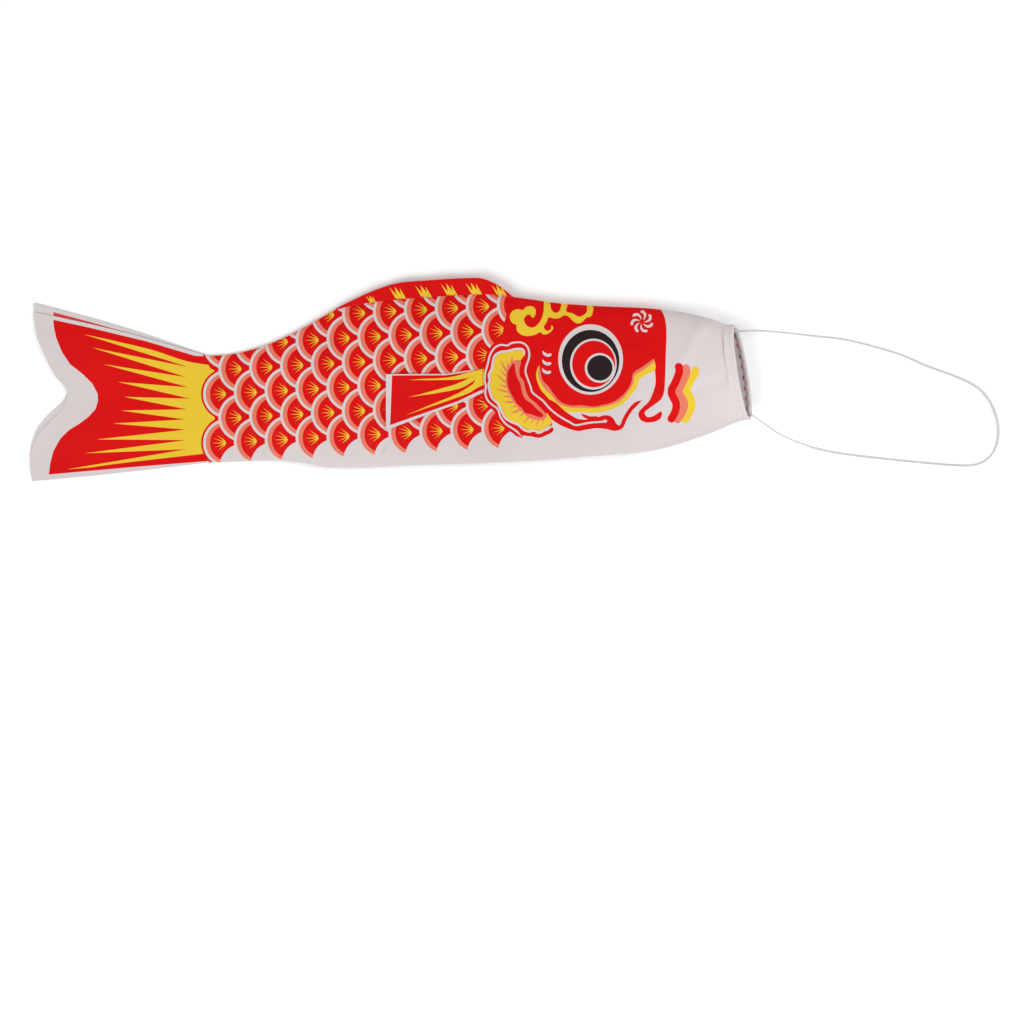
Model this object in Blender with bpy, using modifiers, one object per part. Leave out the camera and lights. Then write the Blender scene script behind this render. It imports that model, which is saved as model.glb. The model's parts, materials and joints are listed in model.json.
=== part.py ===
"""Carp streamer: a cloth windsock in the shape of a fish, lying on its left side.

Metres, +Z up. +X runs from the tail to the mouth, +Y from the belly to the back.
The right flank faces up and the left flank lies on the floor at z = 0.
"""

import math

import bpy
import numpy as np
from mathutils import Matrix, Vector

MM = 0.001

# Overall sizes
BODY_LENGTH = 296.5 * MM       # tail root to the middle of the mouth rim
BODY_DEPTH = 94.0 * MM         # back seam to belly seam at the deepest place
TAIL_LENGTH = 98.95 * MM       # tail root to the furthest tip of a tail leaf
TAIL_SPAN = 94.0 * MM          # tip to tip across the open end of a tail leaf
MOUTH_X = 195.0 * MM           # middle of the mouth rim from the origin

# Cloth, thread and clearances
CLOTH = 0.5 * MM               # one layer of cloth
GAP = 0.3 * MM                 # clearance between pieces that touch
SEAM_RISE = (CLOTH + GAP) / 2  # each flank's seam edge from the seam's middle plane
THREAD = 0.4 * MM              # thread diameter
STITCH_INSET = 2.0 * MM        # seam stitches in from a panel's edge

# Mouth
HEM_WIDTH = 5.6 * MM
HEM_STITCH = 2.9 * MM          # stitches from the rim
STIFFENER = 0.8 * MM           # diameter of the hoop in the hem
MOUTH_LEAN = -0.155            # the rim runs forward towards the belly
MOUTH_TILT = 3.2 * MM          # the upper rim sits back, the lower rim forward
LEAN_START = 0.75              # station where the lean and tilt begin
SECTION_POWER = 1.8            # the body's section is a lens, and 1.0 at the mouth an ellipse
SEAM_MARGIN = 0.01             # seam stitches stop short of the body's ends, in stations
FRONT_GRID = (28, 16)          # columns along and rows across each panel
REAR_GRID = (8, 14)

# Joints
SWAY_STATION = 0.186           # where the tail half swings on the front half
SWAY_GAP = 3.2 * MM
TAIL_GAP = 1.2 * MM

# Fins
DORSAL_HEIGHT = 7.89 * MM
DORSAL_START = 0.242           # stations of the fin's two ends on the back seam
DORSAL_END = 0.585
DORSAL_MARGIN = 0.012          # the fin's stitches stop short of its ends, in stations
FIN_CLEARANCE = 0.5 * MM       # under a pectoral fin
DORSAL_CLEARANCE = CLOTH + 0.5 * MM  # half the doubled cloth, and room to fold
PECTORAL_STATION = 0.524       # where the pectoral fins are sewn on
PECTORAL_LENGTH = 53.4 * MM
PECTORAL_ROOT = 12.8 * MM
PECTORAL_TIP = 30.6 * MM
PECTORAL_ROOT_Y = -0.9 * MM    # middle of the fin's root
PECTORAL_DROP = 11.1 * MM      # the far edge's middle below the root's middle
FIN_STITCH = 1.2 * MM          # stitches from a fin's sewn edge

# Bridle
CORD = 1.0 * MM
KNOT = 2.2 * MM                # diameter of each tie knot

# Outline of the body: station (0 at the tail root, 1 at the hem), share of the depth
BACK_LINE = (
    (0.0, 0.141), (0.038, 0.148), (0.092, 0.185), (0.145, 0.248), (0.199, 0.335),
    (0.242, 0.408), (0.295, 0.447), (0.36, 0.471), (0.475, 0.496), (0.53, 0.503),
    (0.585, 0.487), (0.672, 0.45), (0.739, 0.435), (0.869, 0.414), (0.936, 0.387),
    (0.98, 0.352), (1.0, 0.3245),
)
BELLY_LINE = (
    (0.0, -0.487), (0.158, -0.482), (0.188, -0.493), (0.212, -0.511), (0.266, -0.518),
    (0.405, -0.502), (0.519, -0.4915), (0.672, -0.466), (0.724, -0.451),
    (0.8465, -0.413), (0.932, -0.328), (1.0, -0.238),
)
# How far each flank bellies out from the seam plane, and the lift over the lower fin
UPPER_BULGE = (
    (0.0, 0.05 * MM), (0.1, 1.4 * MM), (0.2, 2.9 * MM), (0.4, 5.0 * MM),
    (0.6, 6.0 * MM), (0.85, 8.0 * MM), (1.0, 9.2 * MM),
)
LOWER_BULGE = (
    (0.0, 0.05 * MM), (0.1, 0.8 * MM), (0.2, 1.8 * MM), (0.4, 3.2 * MM),
    (0.6, 4.2 * MM), (0.85, 6.5 * MM), (1.0, 8.4 * MM),
)
LOWER_LIFT = ((0.0, 0.1), (0.3, 1.0), (0.6, 1.0), (0.9, 0.1), (1.0, 0.0))

# Tail leaf's cut edge: share of the tail's length, share of its span
TAIL_CUT = (
    (0.982, 0.5), (0.961, 0.356), (0.913, 0.232), (0.858, 0.123), (0.81, 0.066),
    (0.789, 0.0), (0.8185, -0.0755), (0.897, -0.1585), (0.9687, -0.257), (1.0, -0.39),
    (0.986, -0.5),
)
TAIL_MIDDLE_Y = -9.2 * MM
LEFT_TAIL_SKEW = 0.05          # the lower leaf lies turned a little towards the back

# Dorsal fin's free edge: share along its base, share of its height
DORSAL_EDGE = (
    (0.0, 0.05), (0.109, 0.42), (0.2255, 0.75), (0.358, 0.97), (0.534, 0.99),
    (0.771, 0.99), (0.852, 0.79), (0.923, 0.46), (1.0, 0.05),
)

# The bridle's route from the back knot to the belly knot, as it lies on the floor
BRIDLE_ROUTE = (
    (0.2034, 0.0272, 0.0077), (0.2130, 0.0266, 0.0050), (0.2240, 0.0256, 0.0022),
    (0.2370, 0.0241, 0.0008), (0.2543, 0.0219, 0.00055), (0.2807, 0.0148, 0.00055),
    (0.2979, 0.0076, 0.00055), (0.3150, 0.0013, 0.00055), (0.3265, -0.0050, 0.00055),
    (0.3335, -0.0140, 0.00055), (0.3370, -0.0260, 0.00055), (0.3358, -0.0368, 0.00055),
    (0.3312, -0.0437, 0.00055), (0.3245, -0.0470, 0.00055), (0.3145, -0.0474, 0.00055),
    (0.2979, -0.0461, 0.00055), (0.2750, -0.0438, 0.00055), (0.2520, -0.0411, 0.00075),
    (0.2380, -0.0383, 0.0016), (0.2270, -0.0350, 0.0034), (0.2160, -0.0302, 0.0060),
    (0.2070, -0.0243, 0.0080),
)
CORD_POINTS = 78
FLOOR_CLEAR = 0.02 * MM        # the cord's underside above the floor

WHITE = (0.73, 0.67, 0.67)
RED = (0.69, 0.005, 0.005)
CORD_WHITE = (0.63, 0.63, 0.62)
CLEAR_WIRE = (0.55, 0.57, 0.58)
THREAD_RED = (0.45, 0.03, 0.03)

TAIL_ROOT_X = MOUTH_X - BODY_LENGTH
PANEL_RUN = BODY_LENGTH - HEM_WIDTH - GAP
HEM_RADIUS = STIFFENER / 2 + GAP + CLOTH / 2
RIGHT, LEFT = 1, -1


def clear_scene():
    """Remove whatever the file opened with."""
    for item in list(bpy.data.objects):
        bpy.data.objects.remove(item, do_unlink=True)


def new_collection(name):
    """A collection linked to the scene."""
    group = bpy.data.collections.new(name)
    bpy.context.scene.collection.children.link(group)
    return group


def material(name, colour, roughness, metallic=0.0):
    """A plain finish for one sub-part."""
    finish = bpy.data.materials.new(name)
    finish.use_nodes = True
    shader = finish.node_tree.nodes["Principled BSDF"]
    shader.inputs["Base Color"].default_value = (*colour, 1.0)
    shader.inputs["Roughness"].default_value = roughness
    shader.inputs["Metallic"].default_value = metallic
    return finish


def add_part(group, name, data, colour, roughness):
    """Put a mesh or curve in the scene under its part's name."""
    data.materials.clear()
    data.materials.append(material(name, colour, roughness))
    part = bpy.data.objects.new(name, data)
    group.objects.link(part)
    return part


def along(points, place):
    """Smooth value at a place through (place, value) pairs."""
    places = [pair[0] for pair in points]
    values = [pair[1] for pair in points]
    slopes = np.gradient(values, places)
    if place <= places[0]:
        return values[0]
    if place >= places[-1]:
        return values[-1]
    index = int(np.searchsorted(places, place)) - 1
    width = places[index + 1] - places[index]
    t = (place - places[index]) / width
    return (
        (2 * t**3 - 3 * t**2 + 1) * values[index]
        + (t**3 - 2 * t**2 + t) * width * slopes[index]
        + (3 * t**2 - 2 * t**3) * values[index + 1]
        + (t**3 - t**2) * width * slopes[index + 1]
    )


def ease(low, high, value):
    """0 below low, 1 above high, and smooth between."""
    t = min(max((value - low) / (high - low), 0.0), 1.0)
    return t * t * (3 - 2 * t)


def station_x(station):
    """A station's place along the body, before the mouth's lean."""
    return TAIL_ROOT_X + station * PANEL_RUN


def back_y(station):
    """Height of the back seam on the outline."""
    return along(BACK_LINE, station) * BODY_DEPTH


def belly_y(station):
    """Height of the belly seam on the outline."""
    return along(BELLY_LINE, station) * BODY_DEPTH


def seam_z(station):
    """Middle plane of the seams above the floor."""
    lift = along(LOWER_LIFT, station) * (CLOTH + GAP)
    return CLOTH / 2 + lift + along(LOWER_BULGE, station) + SEAM_RISE


def mouth_shift(station, y_offset, around):
    """Forward shift from the mouth's lean and tilt, for a place on the section."""
    ramp = ease(LEAN_START, 1.0, station)
    return ramp * (MOUTH_LEAN * y_offset - MOUTH_TILT * math.sin(around))


def flank_point(station, angle, side):
    """Middle of a flank's cloth; angle runs from 0 at the back to pi at the belly."""
    half = (back_y(station) - belly_y(station)) / 2
    middle = (back_y(station) + belly_y(station)) / 2
    offset = half * math.cos(angle)
    power = SECTION_POWER + (1.0 - SECTION_POWER) * ease(LEAN_START, 1.0, station)
    bulge = along(UPPER_BULGE if side == RIGHT else LOWER_BULGE, station)
    rise = SEAM_RISE + bulge * max(math.sin(angle), 0.0) ** power
    x = station_x(station) + mouth_shift(station, offset, side * angle)
    return Vector((x, middle + offset, seam_z(station) + side * rise))


def crest_z(station):
    """Top of the upper flank's cloth at a station."""
    return flank_point(station, math.pi / 2, RIGHT).z + CLOTH / 2


def cloth_panel(group, name, side, start, end, columns, rows):
    """One flank between two stations: an open surface thickened to the cloth."""
    corners = []
    for column in range(columns + 1):
        station = start + (end - start) * column / columns
        for row in range(rows + 1):
            corners.append(flank_point(station, math.pi * row / rows, side))
    faces = []
    for column in range(columns):
        for row in range(rows):
            first = column * (rows + 1) + row
            faces.append((first, first + 1, first + rows + 2, first + rows + 1))
    data = bpy.data.meshes.new(name)
    data.from_pydata(corners, [], faces)
    part = add_part(group, name, data, WHITE, 0.75)
    shell = part.modifiers.new("cloth", "SOLIDIFY")
    shell.thickness = CLOTH
    shell.offset = 0.0
    data.shade_smooth()
    return part


def flat_piece(group, name, outline, thickness, place, colour):
    """A flat piece cut to an outline, centred on its own plane."""
    data = bpy.data.curves.new(name, "CURVE")
    data.dimensions = "2D"
    data.fill_mode = "BOTH"
    data.extrude = thickness / 2
    data.render_resolution_u = 0
    spline = data.splines.new("POLY")
    spline.points.add(len(outline) - 1)
    for point, (x, y) in zip(spline.points, outline):
        point.co = (x, y, 0.0, 1.0)
    spline.use_cyclic_u = True
    part = add_part(group, name, data, colour, 0.75)
    part.matrix_world = place
    return part


def tube(group, name, points, diameter, colour, closed=False):
    """A round cord, wire or thread through its points."""
    data = bpy.data.curves.new(name, "CURVE")
    data.dimensions = "3D"
    data.bevel_depth = diameter / 2
    data.bevel_resolution = 2 if not closed else 1
    data.use_fill_caps = not closed
    data.render_resolution_u = 0
    spline = data.splines.new("POLY")
    spline.points.add(len(points) - 1)
    for point, place in zip(spline.points, points):
        point.co = (*place, 1.0)
    spline.use_cyclic_u = closed
    return add_part(group, name, data, colour, 0.6)


def smooth_route(route, count):
    """Evenly spaced points on a smooth curve through a route's own points."""
    route = [np.array(place) for place in route]
    ends = [2 * route[0] - route[1]] + route + [2 * route[-1] - route[-2]]
    dense = []
    for index in range(1, len(ends) - 2):
        before, first, second, after = ends[index - 1:index + 3]
        for step in range(20):
            t = step / 20
            dense.append(0.5 * (
                2 * first + (second - before) * t
                + (2 * before - 5 * first + 4 * second - after) * t**2
                + (3 * first - before - 3 * second + after) * t**3
            ))
    dense.append(route[-1])
    dense = np.array(dense)
    lengths = np.concatenate(([0.0], np.cumsum(np.linalg.norm(np.diff(dense, axis=0), axis=1))))
    wanted = np.linspace(0.0, lengths[-1], count)
    return [Vector([np.interp(reach, lengths, dense[:, axis]) for axis in range(3)]) for reach in wanted]


def rim_point(around, inward, back):
    """A place on the mouth: angle round the rim, distance inward, distance behind the rim."""
    half = (back_y(1.0) - belly_y(1.0)) / 2
    middle = (back_y(1.0) + belly_y(1.0)) / 2
    depth = SEAM_RISE + along(UPPER_BULGE if math.sin(around) > 0 else LOWER_BULGE, 1.0)
    normal = Vector((0.0, depth * math.cos(around), half * math.sin(around))).normalized()
    offset = half * math.cos(around)
    x = MOUTH_X + mouth_shift(1.0, offset, around) - back
    place = Vector((x, middle + offset, seam_z(1.0) + depth * math.sin(around)))
    return place - normal * inward


def hem_section():
    """The folded hem's closed section as (inward, back) pairs."""
    arc = [math.pi * step / 6 for step in range(7)]
    outer = HEM_RADIUS + CLOTH / 2
    inner = HEM_RADIUS - CLOTH / 2
    outside = [(HEM_RADIUS - outer * math.cos(a), HEM_RADIUS - outer * math.sin(a)) for a in arc]
    inside = [(HEM_RADIUS - inner * math.cos(a), HEM_RADIUS - inner * math.sin(a)) for a in reversed(arc)]
    return (
        [(-CLOTH / 2, HEM_WIDTH)] + outside
        + [(2 * HEM_RADIUS + CLOTH / 2, HEM_WIDTH), (2 * HEM_RADIUS - CLOTH / 2, HEM_WIDTH)]
        + inside + [(CLOTH / 2, HEM_WIDTH)]
    )


def mouth_hem(group, steps=40):
    """The cloth casing folded round the hoop: one closed section carried round the rim."""
    section = hem_section()
    count = len(section)
    corners = [
        rim_point(2 * math.pi * step / steps, inward, back)
        for step in range(steps) for inward, back in section
    ]
    faces = []
    for step in range(steps):
        for index in range(count):
            here, there = step * count, (step + 1) % steps * count
            after = (index + 1) % count
            faces.append((here + index, there + index, there + after, here + after))
    data = bpy.data.meshes.new("mouth_hem")
    data.from_pydata(corners, [], faces)
    data.shade_smooth()
    return add_part(group, "mouth_hem", data, WHITE, 0.75)


def rim_ring(group, name, diameter, inward, back, colour, steps=44):
    """A closed ring that follows the mouth."""
    points = [rim_point(2 * math.pi * step / steps, inward, back) for step in range(steps)]
    return tube(group, name, points, diameter, colour, closed=True)


def tie_knot(group, name, around):
    """The knot that ties one end of the bridle inside a corner of the mouth."""
    inward = 2 * HEM_RADIUS + CLOTH / 2 + GAP + KNOT / 2
    place = rim_point(around, inward, 0.0)
    bpy.ops.mesh.primitive_uv_sphere_add(segments=16, ring_count=10, radius=KNOT / 2, location=place)
    part = bpy.context.object
    part.name = name
    for owner in list(part.users_collection):
        owner.objects.unlink(part)
    group.objects.link(part)
    part.data.materials.append(material(name, CORD_WHITE, 0.6))
    part.data.shade_smooth()
    return place


def bridle(group, back_knot, belly_knot):
    """The bridle from one tie knot to the other."""
    start = back_knot + (Vector(BRIDLE_ROUTE[0]) - back_knot).normalized() * (KNOT / 2 + GAP)
    finish = belly_knot + (Vector(BRIDLE_ROUTE[-1]) - belly_knot).normalized() * (KNOT / 2 + GAP)
    points = smooth_route([tuple(start), *BRIDLE_ROUTE, tuple(finish)], CORD_POINTS)
    for point in points:
        point.z = max(point.z, CORD / 2 + FLOOR_CLEAR)
    tube(group, "bridle_cord", points, CORD, CORD_WHITE)


def seam_thread(group, name, start, end, angle_side, count):
    """A run of seam stitches on the upper flank, just inside a seam."""
    points = []
    for step in range(count):
        station = start + (end - start) * step / (count - 1)
        half = (back_y(station) - belly_y(station)) / 2
        inset = math.acos(1 - STITCH_INSET / half)
        angle = inset if angle_side > 0 else math.pi - inset
        place = flank_point(station, angle, RIGHT)
        nearby = flank_point(station, angle + 0.05, RIGHT) - flank_point(station, angle - 0.05, RIGHT)
        normal = Vector((0.0, -nearby.z, nearby.y)).normalized()
        if normal.z < 0:
            normal.negate()
        points.append(place + normal * (CLOTH / 2 + GAP + THREAD / 2))
    return tube(group, name, points, THREAD, WHITE)


def tail_outline(skew):
    """A tail leaf's outline from the middle of its hinge line."""
    root = -TAIL_GAP / 2
    corners = [(root, back_y(0.0) - TAIL_MIDDLE_Y)]
    cut = [np.array([-share * TAIL_LENGTH + TAIL_GAP / 2, height * TAIL_SPAN]) for share, height in TAIL_CUT]
    for place in smooth_route([(*point, 0.0) for point in cut], 31):
        corners.append((place.x, place.y))
    corners.append((root, belly_y(0.0) - TAIL_MIDDLE_Y))
    return [(x, y + skew * (root - x)) for x, y in corners]


def tail_leaf(group, name, side):
    """One flank's open tail leaf, flat, on its hinge line at the tail root."""
    skew = LEFT_TAIL_SKEW if side == LEFT else 0.0
    z = seam_z(0.0) + side * SEAM_RISE
    place = Matrix.Translation((TAIL_ROOT_X - TAIL_GAP / 2, TAIL_MIDDLE_Y, z))
    return flat_piece(group, name, tail_outline(skew), CLOTH, place, RED)


def dorsal_base(station):
    """A place on the dorsal fin's base, just clear of the back seam."""
    return Vector((station_x(station), back_y(station) + DORSAL_CLEARANCE, seam_z(station)))


def dorsal_frame():
    """The dorsal fin's hinge frame: X along its base, Y towards its free edge."""
    start, end = dorsal_base(DORSAL_START), dorsal_base(DORSAL_END)
    hinge = (end - start).normalized()
    out = Vector((0.0, 1.0, 0.0))
    out = (out - hinge * out.dot(hinge)).normalized()
    up = hinge.cross(out)
    frame = Matrix((hinge, out, up)).transposed().to_4x4()
    frame.translation = start
    return frame


def dorsal_fin(group):
    """The doubled cloth fin whose base follows the back seam."""
    frame = dorsal_frame()
    inverse = frame.inverted()
    outline = []
    for step in range(13):
        station = DORSAL_START + (DORSAL_END - DORSAL_START) * step / 12
        local = inverse @ dorsal_base(station)
        outline.append((local.x, local.y))
    for step in range(24, -1, -1):
        share = step / 24
        station = DORSAL_START + (DORSAL_END - DORSAL_START) * share
        height = along(DORSAL_EDGE, share) * DORSAL_HEIGHT
        local = inverse @ (dorsal_base(station) + Vector((0.0, height, 0.0)))
        outline.append((local.x, local.y))
    return flat_piece(group, "dorsal_fin", outline, 2 * CLOTH, frame, RED)


def pectoral_outline():
    """A pectoral fin's outline from the middle of its root."""
    return [
        (0.0, -PECTORAL_ROOT / 2), (0.0, PECTORAL_ROOT / 2),
        (-PECTORAL_LENGTH, PECTORAL_TIP / 2 - PECTORAL_DROP),
        (-PECTORAL_LENGTH, -PECTORAL_TIP / 2 - PECTORAL_DROP),
    ]


def pectoral_fins(group):
    """The fin on the upper flank and the fin between the lower flank and the floor."""
    root_x = station_x(PECTORAL_STATION)
    far_station = PECTORAL_STATION - PECTORAL_LENGTH / PANEL_RUN
    rise = crest_z(PECTORAL_STATION) - crest_z(far_station)
    slope = math.atan2(rise, PECTORAL_LENGTH)
    clear = FIN_CLEARANCE + CLOTH / 2
    upper = Matrix.Translation((root_x, PECTORAL_ROOT_Y, crest_z(PECTORAL_STATION) + clear))
    lower = Matrix.Translation((root_x, PECTORAL_ROOT_Y, CLOTH / 2))
    upper = upper @ Matrix.Rotation(-slope, 4, "Y")
    flat_piece(group, "right_pectoral_fin", pectoral_outline(), CLOTH, upper, RED)
    flat_piece(group, "left_pectoral_fin", pectoral_outline(), CLOTH, lower, RED)


def fin_threads(group):
    """The stitches that hold each fin, on the cloth just ahead of or inside its base."""
    ahead = PECTORAL_STATION + FIN_STITCH / PANEL_RUN
    x = station_x(ahead)
    ends = (PECTORAL_ROOT_Y - PECTORAL_ROOT / 2, PECTORAL_ROOT_Y + PECTORAL_ROOT / 2)
    upper_z = crest_z(ahead) + GAP + THREAD / 2
    lower_z = flank_point(ahead, math.pi / 2, LEFT).z - CLOTH / 2 - GAP - THREAD / 2
    for name, z in (("right_fin_thread", upper_z), ("left_fin_thread", lower_z)):
        points = [(x, ends[0] + (ends[1] - ends[0]) * step / 4, z) for step in range(5)]
        tube(group, name, points, THREAD, WHITE)
    frame = dorsal_frame()
    inverse = frame.inverted()
    points = []
    for step in range(25):
        run = DORSAL_END - DORSAL_START - 2 * DORSAL_MARGIN
        station = DORSAL_START + DORSAL_MARGIN + run * step / 24
        local = inverse @ dorsal_base(station)
        local.z = CLOTH + GAP + THREAD / 2
        local.y += FIN_STITCH
        points.append(frame @ local)
    tube(group, "dorsal_fin_thread", points, THREAD, WHITE)


def main():
    """Build the streamer piece by piece."""
    clear_scene()
    group = new_collection("carp_streamer")

    half_sway = SWAY_GAP / 2 / PANEL_RUN
    front, rear = SWAY_STATION + half_sway, SWAY_STATION - half_sway
    for side, word in ((RIGHT, "right"), (LEFT, "left")):
        cloth_panel(group, word + "_front_panel", side, front, 1.0, *FRONT_GRID)
        cloth_panel(group, word + "_rear_panel", side, 0.0, rear, *REAR_GRID)
        tail_leaf(group, word + "_tail_leaf", side)
    dorsal_fin(group)
    pectoral_fins(group)
    fin_threads(group)

    mouth_hem(group)
    rim_ring(group, "mouth_stiffener", STIFFENER, HEM_RADIUS, HEM_RADIUS, CLEAR_WIRE)
    stitch_inward = 2 * HEM_RADIUS + CLOTH / 2 + GAP + THREAD / 2
    rim_ring(group, "mouth_hem_thread", THREAD, stitch_inward, HEM_STITCH, THREAD_RED)

    seam_thread(group, "back_seam_thread_front", front, 1.0 - SEAM_MARGIN, 1, 30)
    seam_thread(group, "belly_seam_thread_front", front, 1.0 - SEAM_MARGIN, -1, 30)
    seam_thread(group, "back_seam_thread_rear", SEAM_MARGIN, rear, 1, 12)
    seam_thread(group, "belly_seam_thread_rear", SEAM_MARGIN, rear, -1, 12)

    back_knot = tie_knot(group, "back_tie_knot", 0.0)
    belly_knot = tie_knot(group, "belly_tie_knot", math.pi)
    bridle(group, back_knot, belly_knot)


main()
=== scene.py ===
"""Looks of a cloth carp streamer: printed flanks, open tail, fins, hooped mouth and bridle."""
import json
import logging
import math
from collections.abc import Callable
from dataclasses import dataclass, field
from enum import Enum

import bpy
import numpy as np
from mathutils import Matrix, Vector
from mathutils.geometry import delaunay_2d_cdt

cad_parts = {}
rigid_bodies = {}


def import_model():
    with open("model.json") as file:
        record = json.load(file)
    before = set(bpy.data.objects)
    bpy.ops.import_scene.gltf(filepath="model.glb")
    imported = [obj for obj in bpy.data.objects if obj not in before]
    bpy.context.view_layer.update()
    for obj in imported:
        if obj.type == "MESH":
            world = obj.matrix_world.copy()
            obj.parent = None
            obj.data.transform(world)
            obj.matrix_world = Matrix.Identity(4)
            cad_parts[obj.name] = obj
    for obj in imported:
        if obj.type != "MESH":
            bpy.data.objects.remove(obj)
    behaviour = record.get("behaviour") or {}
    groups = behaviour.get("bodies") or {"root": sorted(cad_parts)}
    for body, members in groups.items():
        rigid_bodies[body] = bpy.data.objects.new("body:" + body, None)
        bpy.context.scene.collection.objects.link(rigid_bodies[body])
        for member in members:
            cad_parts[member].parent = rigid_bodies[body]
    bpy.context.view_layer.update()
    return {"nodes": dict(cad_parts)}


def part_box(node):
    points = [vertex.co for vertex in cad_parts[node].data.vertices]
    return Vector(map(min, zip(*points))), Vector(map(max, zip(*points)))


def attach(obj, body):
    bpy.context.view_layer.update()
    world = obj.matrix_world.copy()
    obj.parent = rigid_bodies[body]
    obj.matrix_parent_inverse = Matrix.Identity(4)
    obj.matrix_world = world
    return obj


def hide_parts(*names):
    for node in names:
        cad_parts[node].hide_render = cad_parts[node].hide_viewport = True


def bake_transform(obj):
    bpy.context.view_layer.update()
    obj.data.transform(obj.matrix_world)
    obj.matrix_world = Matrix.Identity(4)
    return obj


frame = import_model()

MM = 0.001
LOG = logging.getLogger("carp_streamer")

# Plan shapes and heights are in millimetres until a mesh is made.
Table = tuple[tuple[float, ...], ...]
Colour = tuple[float, float, float]
Socket = bpy.types.NodeSocket


class Flank(Enum):
    """The two cloth flanks: the right one faces up and the left one lies on the floor."""

    RIGHT = 1
    LEFT = -1


class Ink(Enum):
    """The cloth and the inks printed on it, in material order."""

    CLOTH = 0
    RED = 1
    YELLOW = 2
    SALMON = 3
    BLACK = 4


# ---------------------------------------------------------------- outlines and printed shapes

BACK_LINE: Table = (
    (0.0, 0.141), (0.038, 0.148), (0.092, 0.185), (0.145, 0.248), (0.199, 0.335),
    (0.242, 0.408), (0.295, 0.447), (0.36, 0.471), (0.475, 0.496), (0.53, 0.503),
    (0.585, 0.487), (0.672, 0.45), (0.739, 0.435), (0.869, 0.414), (0.936, 0.387),
    (0.98, 0.352), (1.0, 0.3245),
)
BELLY_LINE: Table = (
    (0.0, -0.487), (0.158, -0.482), (0.188, -0.493), (0.212, -0.511), (0.266, -0.518),
    (0.405, -0.502), (0.519, -0.4915), (0.672, -0.466), (0.724, -0.451),
    (0.8465, -0.413), (0.932, -0.328), (1.0, -0.238),
)
UPPER_BULGE: Table = (
    (0.0, 0.05), (0.1, 1.4), (0.2, 2.9), (0.4, 5.0), (0.6, 6.0), (0.85, 8.0), (1.0, 9.2),
)
LOWER_BULGE: Table = (
    (0.0, 0.05), (0.1, 0.8), (0.2, 1.8), (0.4, 3.2), (0.6, 4.2), (0.85, 6.5), (1.0, 8.4),
)
LOWER_LIFT: Table = ((0.0, 0.1), (0.3, 1.0), (0.6, 1.0), (0.9, 0.1), (1.0, 0.0))
TAIL_CUT: Table = (
    (0.982, 0.5), (0.961, 0.356), (0.913, 0.232), (0.858, 0.123), (0.81, 0.066),
    (0.789, 0.0), (0.8185, -0.0755), (0.897, -0.1585), (0.9687, -0.257), (1.0, -0.39),
    (0.986, -0.5),
)
BRIDLE_ROUTE: Table = (
    (0.2034, 0.0272, 0.0077), (0.2130, 0.0266, 0.0050), (0.2240, 0.0256, 0.0022),
    (0.2370, 0.0241, 0.0008), (0.2543, 0.0219, 0.00055), (0.2807, 0.0148, 0.00055),
    (0.2979, 0.0076, 0.00055), (0.3150, 0.0013, 0.00055), (0.3265, -0.0050, 0.00055),
    (0.3335, -0.0140, 0.00055), (0.3370, -0.0260, 0.00055), (0.3358, -0.0368, 0.00055),
    (0.3312, -0.0437, 0.00055), (0.3245, -0.0470, 0.00055), (0.3145, -0.0474, 0.00055),
    (0.2979, -0.0461, 0.00055), (0.2750, -0.0438, 0.00055), (0.2520, -0.0411, 0.00075),
    (0.2380, -0.0383, 0.0016), (0.2270, -0.0350, 0.0034), (0.2160, -0.0302, 0.0060),
    (0.2070, -0.0243, 0.0080),
)
HEAD_REAR: Table = (
    (65.1, 60.0), (65.1, 48.9), (64.4, 42.0), (63.8, 34.6), (62.5, 30.9), (62.2, 27.1),
    (60.4, 22.4), (56.4, 18.1), (54.5, 15.5),
)
GILL_LINE: Table = (
    (72.9, -32.1), (69.9, -28.7), (66.7, -26.5), (63.6, -24.4), (60.9, -20.7), (59.3, -16.4),
    (56.1, -13.8), (53.5, -11.1), (52.4, -7.4), (52.7, -3.7), (52.1, -0.5), (52.4, 3.8),
    (53.5, 7.5), (54.3, 10.7), (55.1, 13.9), (57.7, 17.6), (60.9, 19.2), (64.6, 18.9),
    (66.7, 20.1), (70.5, 20.7), (73.7, 20.0), (75.9, 17.8), (76.8, 14.4), (76.4, 11.2),
    (75.1, 7.5), (74.7, 4.3), (75.8, 0.6), (77.4, -3.7), (78.4, -6.9), (81.1, -9.3),
    (84.3, -11.7), (87.5, -15.4), (90.7, -18.3), (94.9, -21.2), (99.2, -23.6), (102.4, -25.2),
    (106.6, -24.5), (110.9, -23.8), (115.1, -23.5), (118.6, -23.2),
)
GILL_FILL_END: Table = ((88.6, -20.5), (89.6, -25.0), (85.0, -29.0), (78.0, -30.0), (72.9, -31.0))
GILL_INNER: Table = (
    (73.7, 12.8), (73.8, 15.5), (72.6, 16.8), (68.9, 16.8), (64.6, 15.7), (60.9, 15.2),
    (57.8, 13.3), (56.6, 9.6), (56.0, 5.9), (54.5, 2.7), (54.9, -0.5), (54.3, -3.1),
    (55.1, -7.4), (56.6, -10.6), (59.3, -13.2), (61.4, -17.5), (63.6, -21.2), (66.7, -23.3),
    (70.5, -24.9), (73.7, -27.6), (76.8, -28.7), (79.0, -28.1), (82.7, -28.9), (86.4, -27.1),
    (89.1, -25.7),
)
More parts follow.
